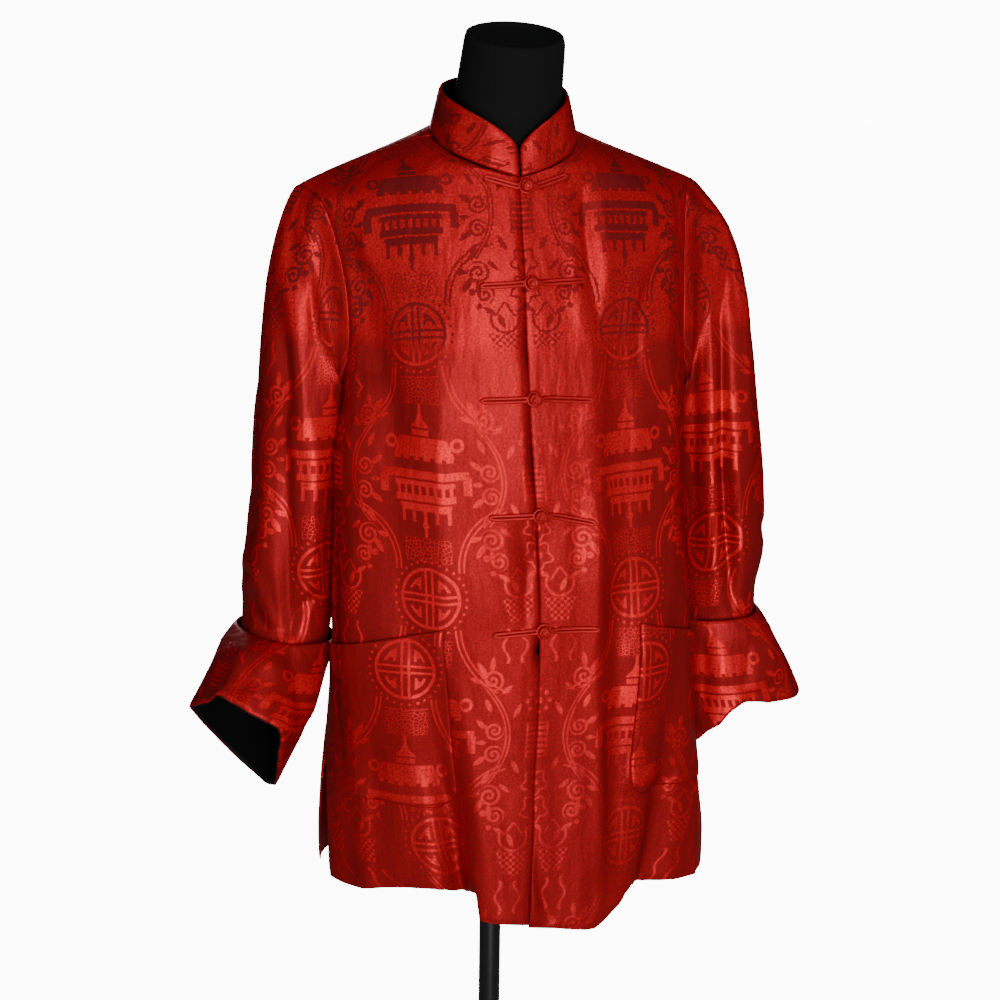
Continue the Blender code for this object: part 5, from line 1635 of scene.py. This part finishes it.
def peaches(p: Plane) -> Field:
    """A peach over a basket either side of the mirror line, with a bow, a blossom and ribbons."""
    b, y = p.x, p.y
    tip = both(y.within(1.8, 3.2), abs(abs(b - 2.1) - (3.2 - y) * 0.72) - 0.13)
    fruit = either(both(p.far(2.1, 1.6).line(1.4, 0.14), y.within(-9, 2.3)), tip,
                   p.leaf(2.45, 1.35, 0.8, 0.3, 24), p.leaf(0.45, 2.5, 0.7, 0.24, -60),
                   p.leaf(3.6, 2.3, 0.7, 0.24, 60))
    basket = both(y.within(-2.4, 0.1), abs(b - 2.1) - 1.7 - (y - 0.1) * 0.35)
    weave = (b * 9.0).apply("SINE") * (y * 9.5).apply("SINE")
    bow = either(p.spiral(4.0, 3.9, 0.95, 0.55, 0.2), p.far(5.2, 4.2) - 0.35, p.far(4.6, 2.7) - 0.28)
    sway = (y * 2.3).apply("SINE") * 0.28
    ribbons = both(either((b + sway).line(1.5, 0.17), (b - sway).line(3.4, 0.15)), y.within(-6.6, -3.0))
    return either(fruit, both(basket, weave * 0.3), bow, p.blossom(4.4, 1.25, 0.25, 0.14, 0.38), ribbons)


def new_group(name: str, takes: dict[str, str], gives: dict[str, str]) -> tuple:
    """A node group with its sockets.

    Args:
        name: its name.
        takes: kind of each input.
        gives: kind of each output.

    Returns:
        Its tree, its inputs as seen inside, and its outputs to be fed.
    """
    tree = bpy.data.node_groups.new(name, "ShaderNodeTree")
    for way, sockets in (("INPUT", takes), ("OUTPUT", gives)):
        for label, kind in sockets.items():
            tree.interface.new_socket(label, in_out=way, socket_type="NodeSocket" + kind)
    return tree, tree.nodes.new("NodeGroupInput").outputs, tree.nodes.new("NodeGroupOutput").inputs


@dataclass(frozen=True)
class WovenFigure:
    """The figure of the silk, mirrored across and repeated up the cloth; sizes in centimetres."""

    half_repeat: float = 11.0  # from a mirror line to the next
    repeat: float = 26.4  # height of one repeat
    fret_level: float = 122.6  # height of a round fret on the fronts
    censer_rise: float = 12.9  # height of the censer over a round fret
    scroll_rise: float = 11.7  # and of the middle of the scrolls
    censer_scale: float = 1.28  # the censer is drawn this much larger than its own sizes
    soft_edge: float = 0.07  # blur of the woven outline
    thread_scale: float = 430.0  # threads to a metre
    thread_share: float = 0.24  # how far they roughen the outline

    def group(self) -> NodeTree:
        """Node group of the figure: flat coordinates in metres in, share of figure and threads out."""
        gives = {"Figure": "Float", "Threads": "Float"}
        tree, takes, gives = new_group("woven_figure", {"Flat": "Vector"}, gives)
        split = add_node(tree, "SeparateXYZ", {0: takes[0]})
        up = Field(tree, split.outputs[1]) * 100.0 - self.fret_level
        b = (Field(tree, split.outputs[0]) * 100.0).apply("PINGPONG", self.half_repeat)
        a, v = self.half_repeat - b, up.wrap(self.repeat)
        fret = Plane.of(a, v)
        over = (up - self.censer_rise).wrap(self.repeat)
        hung = Plane.of(a / self.censer_scale, over / self.censer_scale)
        vine = Plane.of(b, (up - self.scroll_rise).wrap(self.repeat))
        shape = either(medallion(fret), ogee(fret), nets(fret), censer(hung) * self.censer_scale,
                       scroll(vine), axis_objects(vine), peaches(Plane.of(b, v)))
        threads = add_node(tree, "TexNoise", {"Scale": self.thread_scale, "Detail": 1.0, "Vector": takes[0]},
                           noise_dimensions="2D")
        thread = Field(tree, threads.outputs["Fac"]) - 0.5
        feed(gives[0], (0.5 - (shape + thread * self.thread_share) / self.soft_edge).clamped())
        feed(gives[1], thread * 2.0)
        return tree


GRAIN_DEPTH = 0.0003


@cache
def grain_group() -> NodeTree:
    """Node group of a fine grain: place, scale and strength in, normal out."""
    takes = {"Place": "Vector", "Scale": "Float", "Strength": "Float"}
    tree, (place, scale, strength, *_), gives = new_group("fine_grain", takes, {"Normal": "Vector"})
    noise = add_node(tree, "TexNoise", {"Scale": scale, "Vector": place})
    inputs = {"Strength": strength, "Distance": GRAIN_DEPTH, "Height": noise.outputs["Fac"]}
    feed(gives[0], add_node(tree, "Bump", inputs).outputs[0])
    return tree


def blank_material(name: str) -> tuple[Material, NodeTree, Node]:
    """A new node material, its tree and its shader."""
    made = bpy.data.materials.new(name)
    made.use_nodes = True
    return made, made.node_tree, made.node_tree.nodes["Principled BSDF"]


@dataclass(frozen=True)
class Damask:
    """Finish of the red figured silk: figure and ground are woven with the threads tipped different ways.

    The figure is light on dark at the bottom and dark on light from chest height up: a painted sheen laid in by
    height, with the chest top painted darker as painted shade.
    """

    dark: tuple = (0.160, 0.0130, 0.0150)
    bright: tuple = (0.660, 0.0120, 0.0175)
    ground_below: float = 0.30  # shares of the bright colour: below the painted sheen flip the figure is at 1
    # above the flip the figure is painted dark on a lighter ground and the whole is darker: painted sheen and
    # painted shade
    painted_light_ground_above: float = 0.64
    painted_light_figure_above: float = 0.10
    # heights over which the painted sheen flips the figure, standing in for the satin's sheen turning with the
    # light
    painted_sheen_flip: tuple = (1.203, 1.217)
    middle_x: float = 0.01  # painted sheen: the figure fades towards the opening, standing in for the weave meeting the light squarely there
    middle: tuple = (0.055, 0.110)
    painted_sheen_middle_fade: float = 0.60
    low: tuple = (0.870, 0.795)  # and towards the hem as painted shade, but not on the sleeves
    painted_shade_hem_side: tuple = (0.195, 0.185)
    painted_shade_hem_fade: float = 0.55
    mean: tuple = (0.52, 0.12)  # share that the figure fades to, and the painted shade taken off it at the hem
    speckle: tuple = (0.9, 0.95)
    metallic: float = 0.52
    rough_ground: float = 0.52
    rough_figure: float = 0.46
    specular: float = 0.05
    edge: tuple = (0.30, 0.03, 0.06)
    tilt: float = 0.20
    ripple: float = 0.0034  # depth of the slight unevenness of the hanging cloth
    ripple_ways: tuple = (36.0, 36.0, 9.0)

    def share(self, figure: Field, place: NodeSocket) -> Field:
        """Share of the bright colour, with painted sheen and painted shade laid in by place on the object.

        Args:
            figure: share of figure.
            place: place on the object.

        Returns:
            The share.
        """
        split = add_node(figure.tree, "SeparateXYZ", {0: place})
        x, height = Field(figure.tree, split.outputs[0]), Field(figure.tree, split.outputs[2])
        # painted sheen: the figure flips from light to dark at chest height, and is painted darker above
        painted_sheen_flip = height.ramp(*self.painted_sheen_flip)
        below = figure * (1.0 - self.ground_below) + self.ground_below
        over = figure * (self.painted_light_figure_above - self.painted_light_ground_above) + self.painted_light_ground_above
        shown = below + painted_sheen_flip * (over - below)
        aside = abs(x - self.middle_x)
        # painted sheen fades the figure near the opening, painted shade darkens it towards the hem
        middle = 1.0 - aside.ramp(*self.middle)
        low = height.ramp(*self.low) * aside.ramp(*self.painted_shade_hem_side)
        strength = (1.0 - middle * (1.0 - painted_sheen_flip * 0.5) * self.painted_sheen_middle_fade) * (1.0 - low * self.painted_shade_hem_fade)
        level = self.mean[0] - low * self.mean[1]
        return (shown - level) * strength + level

    def normal(self, figure: Field, place: NodeSocket) -> NodeSocket:
        """Normal of the cloth: slightly uneven, and tipped up or down by the threads.

        Args:
            figure: share of figure.
            place: place on the object.

        Returns:
            The normal.
        """
        tree = figure.tree
        spread = add_node(tree, "VectorMath", {0: place, 1: self.ripple_ways}, operation="MULTIPLY")
        uneven = add_node(tree, "TexNoise", {"Scale": 1.0, "Detail": 3.0, "Vector": spread.outputs[0]})
        inputs = {"Strength": 1.0, "Distance": self.ripple, "Height": uneven.outputs["Fac"]}
        bump = add_node(tree, "Bump", inputs)
        lean = add_node(tree, "CombineXYZ", {2: (figure - 0.5) * self.tilt})
        tipped = add_node(tree, "VectorMath", {0: bump.outputs["Normal"], 1: lean.outputs[0]})
        return add_node(tree, "VectorMath", {0: tipped.outputs[0]}, operation="NORMALIZE").outputs[0]

    def build(self, name: str) -> Material:
        """The material of this finish."""
        made, tree, shader = blank_material(name)
        flat = add_node(tree, "UVMap", uv_map="flat")
        group = add_node(tree, "Group", node_tree=WovenFigure().group())
        feed(group.inputs[0], flat.outputs[0])
        figure, threads = (Field(tree, group.outputs[i]) for i in (0, 1))
        place = add_node(tree, "TexCoord").outputs["Object"]
        # the share carries painted sheen and painted shade by place
        shown = self.share(figure, place)
        more, base = self.speckle
        mix = add_node(tree, "Mix", data_type="RGBA")
        feed_all(mix.inputs, {"A": (*self.dark, 1.0), "B": (*self.bright, 1.0),
                              "Factor": (shown * (threads * more + base)).clamped()})
        feed_all(shader.inputs, {
            "Base Color": mix.outputs["Result"], "Metallic": self.metallic,
            "Roughness": shown * (self.rough_figure - self.rough_ground) + self.rough_ground,
            "Specular IOR Level": self.specular, "Specular Tint": (*self.edge, 1.0),
            "Normal": self.normal(figure, place)})
        return made


@dataclass(frozen=True)
class Plain:
    """An even finish with a fine grain."""

    colour: tuple
    roughness: float
    metallic: float = 0.0
    specular: float = 0.5
    grain: float = 0.0
    grain_size: float = 900.0

    def build(self, name: str) -> Material:
        """The material of this finish."""
        made, tree, shader = blank_material(name)
        feed_all(shader.inputs, {"Base Color": (*self.colour, 1.0), "Roughness": self.roughness,
                                 "Metallic": self.metallic, "Specular IOR Level": self.specular})
        if self.grain:
            group = add_node(tree, "Group", node_tree=grain_group())
            place = add_node(tree, "TexCoord").outputs["Object"]
            feed_all(group.inputs, {"Place": place, "Scale": self.grain_size, "Strength": self.grain})
            feed(shader.inputs["Normal"], group.outputs[0])
        return made


FINISHES = {
    Kind.SHELL: Damask(),
    Kind.LINING: Plain((0.0050, 0.0050, 0.0056), 0.62, specular=0.10, grain=0.15),
    Kind.CORD: Plain((0.42, 0.0120, 0.0150), 0.46, metallic=0.4, specular=0.15, grain=0.4, grain_size=1400.0),
    Kind.JERSEY: Plain((0.0050, 0.0050, 0.0052), 0.85, specular=0.10, grain=0.35),
    Kind.METAL: Plain((0.010, 0.010, 0.011), 0.38, metallic=0.5),
}


@cache
def material(kind: Kind) -> Material:
    """The material of a kind, made when it is first asked for."""
    return FINISHES[kind].build(kind.value)


# ---------- dress form and stand
@dataclass(frozen=True)
class DressForm:
    """Limbless torso and neck, with a shallow recess in the top of the neck."""

    rim: float = 0.007
    recess: float = 0.0025
    columns: int = 96
    rings_per_row: int = 5

    def ring(self, row: Form, scale: float = 1.0, drop: float = 0.0) -> ndarray:
        """Points round one ring.

        Args:
            row: sizes of the ring.
            scale: share of its size that is kept.
            drop: how much lower it lies.

        Returns:
            The points.
        """
        outline = superellipse(self.columns, row.square)
        y = outline[:, 1] * np.where(outline[:, 1] > 0, row.back, row.front) * scale
        return np.column_stack([row.x + outline[:, 0] * row.half_width * scale, row.y + y,
                                row.z + y * math.tan(math.radians(row.tilt)) - drop])

    def build(self) -> Object:
        """The form, closed at the bottom and in its recess."""
        top = FORM_RINGS[-1]
        inner = 1.0 - self.rim / top.half_width
        rings = [self.ring(row_between(FORM_RINGS, level))
                 for level in levels_between(0, len(FORM_RINGS) - 2, self.rings_per_row)]
        rings += [self.ring(top), self.ring(top, inner), self.ring(top, inner - 0.02, self.recess),
                  self.ring(top, inner - 0.2, self.recess)]
        return closed_object("form_look", np.array(rings), Kind.JERSEY)


@dataclass(frozen=True)
class Turned:
    """An upright round piece with rounded rims, modelled in edit mode."""

    node: str
    radius: float
    low: float
    high: float
    edge: float
    sides: int

    def build(self) -> Object:
        """The piece."""
        bpy.ops.object.select_all(action="DESELECT")
        bpy.ops.mesh.primitive_cylinder_add(
            vertices=self.sides, radius=self.radius, depth=self.high - self.low,
            location=(0.0, 0.0, (self.low + self.high) / 2))
        made = bpy.context.object
        made.name = made.data.name = self.node + "_look"
        bpy.ops.object.transform_apply(location=True, rotation=True, scale=True)
        bpy.ops.object.mode_set(mode="EDIT")
        bpy.ops.mesh.select_all(action="DESELECT")
        bpy.ops.mesh.select_mode(type="EDGE")
        bpy.ops.object.mode_set(mode="OBJECT")
        for rim in made.data.edges:
            one, other = (made.data.vertices[i].co.z for i in rim.vertices)
            rim.select = abs(one - other) < 1e-6
        bpy.ops.object.mode_set(mode="EDIT")
        bpy.ops.mesh.bevel(offset=self.edge, segments=3, affect="EDGES")
        bpy.ops.mesh.select_all(action="SELECT")
        bpy.ops.mesh.faces_shade_smooth()
        bpy.ops.object.mode_set(mode="OBJECT")
        for face in made.data.polygons:
            face.use_smooth = abs(face.normal.z) < 0.999
        made.data.materials.append(material(Kind.METAL))
        return made


# The pole stands 0.3 mm clear of the base and of the form.
STAND = (Turned("pole", 0.0115, 0.0143, 0.7347, 0.0005, 48), Turned("base", 0.165, 0.0, 0.014, 0.003, 96))


# ---------- stage
@dataclass(frozen=True)
class Lamp:
    """A soft area lamp aimed at the jacket."""

    name: str
    place: tuple
    power: float
    size: float = 1.8
    aim: tuple = (0.0, 0.0, 1.05)

    def build(self) -> None:
        """Adds the lamp."""
        data = bpy.data.lights.new(self.name, "AREA")
        data.shape, data.size, data.energy = "DISK", self.size, self.power
        made = bpy.data.objects.new(self.name, data)
        made.location = self.place
        made.rotation_euler = (Vector(self.aim) - Vector(self.place)).to_track_quat("-Z", "Y").to_euler()
        bpy.context.scene.collection.objects.link(made)


@dataclass(frozen=True)
class Studio:
    """Pale floor, plain sky, soft lamps and the camera."""

    lamps: tuple[Lamp, ...] = (
        Lamp("front", (-0.15, -3.2, 1.10), 92.0),
        Lamp("top", (0.3, -1.2, 3.4), 22.0, 1.6),
        Lamp("left_side", (3.0, -0.6, 1.2), 9.0),
        Lamp("right_side", (-3.0, -1.2, 1.2), 15.0),
        Lamp("behind", (0.4, 3.2, 1.2), 80.0),
    )
    reach: float = 14.0  # half size of the floor
    floor_glow: float = 12.0  # the floor glows for the camera and only reflects for the object
    floor_share: float = 0.97  # share of its glow that the camera sees
    floor_grey: float = 0.35
    sky: float = 0.05  # light of the sky, and what the camera sees on top of it
    sky_seen: float = 11.95
    azimuth: float = -13.0  # the camera stands a little to the wearer's right
    elevation: float = 13.0
    roll: float = 0.76
    distance: float = 3.0
    target: tuple = (0.0, 0.0, 1.025)
    focal: float = 2.874  # focal length, in widths of the frame
    sensor: float = 36.0
    shift: float = 0.0045

    def floor_material(self) -> Material:
        """Material of the floor, which glows for the camera."""
        made, tree, shader = blank_material("floor_white")
        shader.inputs["Base Color"].default_value = (*[self.floor_grey] * 3, 1.0)
        shader.inputs["Roughness"].default_value = 0.9
        glow = add_node(tree, "Emission", {"Strength": self.floor_glow})
        seen = Field(tree, add_node(tree, "LightPath").outputs["Is Camera Ray"])
        inputs = {0: seen * self.floor_share, 1: shader.outputs[0], 2: glow.outputs[0]}
        mix = add_node(tree, "MixShader", inputs)
        feed(tree.nodes["Material Output"].inputs["Surface"], mix.outputs[0])
        return made

    def build(self) -> None:
        """Adds the floor, the sky, the lamps and the camera."""
        corners = [(x * self.reach, y * self.reach, 0.0) for x, y in ((-1, -1), (1, -1), (1, 1), (-1, 1))]
        floor = mesh_object("floor", corners, [(0, 1, 2, 3)], smooth=False)
        floor.data.materials.append(self.floor_material())
        world = bpy.data.worlds.new("studio")
        world.use_nodes = True
        tree = world.node_tree
        seen = Field(tree, add_node(tree, "LightPath").outputs["Is Camera Ray"])
        feed(tree.nodes["Background"].inputs["Color"], (1.0, 1.0, 1.0, 1.0))
        feed(tree.nodes["Background"].inputs["Strength"], seen * self.sky_seen + self.sky)
        bpy.context.scene.world = world
        for lamp in self.lamps:
            lamp.build()
        self.add_camera()

    def add_camera(self) -> None:
        """Adds the camera, a little above the chest."""
        azimuth, elevation = math.radians(self.azimuth), math.radians(self.elevation)
        back = Vector((math.sin(azimuth) * math.cos(elevation), -math.cos(azimuth) * math.cos(elevation),
                       math.sin(elevation)))
        data = bpy.data.cameras.new("camera")
        data.sensor_width, data.lens, data.shift_x = self.sensor, self.sensor * self.focal, self.shift
        camera = bpy.data.objects.new("camera", data)
        camera.location = Vector(self.target) + back * self.distance
        turn = back.to_track_quat("Z", "Y") @ Quaternion((0.0, 0.0, 1.0), math.radians(self.roll))
        camera.rotation_euler = turn.to_euler()
        bpy.context.scene.collection.objects.link(camera)
        bpy.context.scene.camera = camera


# ---------- assembly
# The cut of each cloth: width and length over all, area, how it is held and what it lies on.
SHEETS = {
    "back": (0.562, 0.910, 0.371, "hung", "dress_form"),
    "front_right": (0.302, 0.851, 0.202, "hung", "dress_form back"),
    "front_left": (0.295, 0.862, 0.211, "hung", "dress_form back"),
    "sleeve_right": (0.574, 0.533, 0.145, "hung", "front_right back"),
    "sleeve_left": (0.566, 0.547, 0.158, "hung", "front_left back"),
    "cuff_right": (0.376, 0.197, 0.0514, "folded", "sleeve_right"),
    "cuff_left": (0.372, 0.153, 0.0432, "folded", "sleeve_left"),
    "cuff_lining_right": (0.376, 0.170, 0.0347, "folded", "cuff_right"),
    "cuff_lining_left": (0.372, 0.127, 0.0290, "folded", "cuff_left"),
    "collar": (0.475, 0.046, 0.0192, "folded", "back front_right front_left"),
    "collar_lining": (0.475, 0.046, 0.0179, "folded", "collar"),
    "pocket_right": (0.189, 0.193, 0.0303, "laid", "front_right"),
    "pocket_left": (0.155, 0.187, 0.0266, "laid", "front_left"),
}


def put(made: Object, node: str) -> None:
    """Ties a piece to the part and hides the node it replaces."""
    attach(made, "root")
    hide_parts(node)
    log.info("%s replaces %s", made.name, node)


@dataclass(frozen=True)
class Jacket:
    """The whole jacket: body, sleeves, collar, pockets and frogs."""

    sleeves: tuple[Sleeve, ...] = (
        Sleeve("right", SLEEVE_RIGHT, CUFF_RIGHT, MOUTH_RIGHT, 0.50),
        Sleeve("left", SLEEVE_LEFT, CUFF_LEFT, MOUTH_LEFT, 1.15),
    )

    def build(self) -> None:
        """Builds every cloth and ties the frogs over the opening."""
        body = Body().plan()
        rings = [sleeve.plan(body) for sleeve in self.sleeves]
        body.pull_in()
        fronts = {side: Front(body.front(side), sign) for side, sign in SIDES}
        cloths = [front.cloth for front in fronts.values()] + [body.back()]
        for sleeve, planned in zip(self.sleeves, rings):
            cloths += sleeve.cloths(*planned)
        cloths += Collar().cloths() + [pocket.cloth(fronts[pocket.side]) for pocket in POCKETS]
        for cloth in cloths:
            made = cloth.build()
            made.name = made.data.name = cloth.name + "_look"
            put(made, cloth.name)
        for frog in FROGS:
            seat = frog.seat(fronts["right"], fronts["left"])
            put(frog.loop(seat, fronts["right"]), "frog_%d_loop" % frog.number)
            put(frog.ball_knot(seat, fronts["left"]), "frog_%d_knot" % frog.number)
        for name, (width, length, area, held, below) in SHEETS.items():
            tuple(piece + "_look" for piece in below.split())


def main() -> None:
    """Builds the jacket, the form, the stand and the stage."""
    logging.basicConfig(level=logging.INFO)
    Jacket().build()
    put(DressForm().build(), "dress_form")
    for turned in STAND:
        put(turned.build(), turned.node)
    Studio().build()


if __name__ == "__main__":
    main()
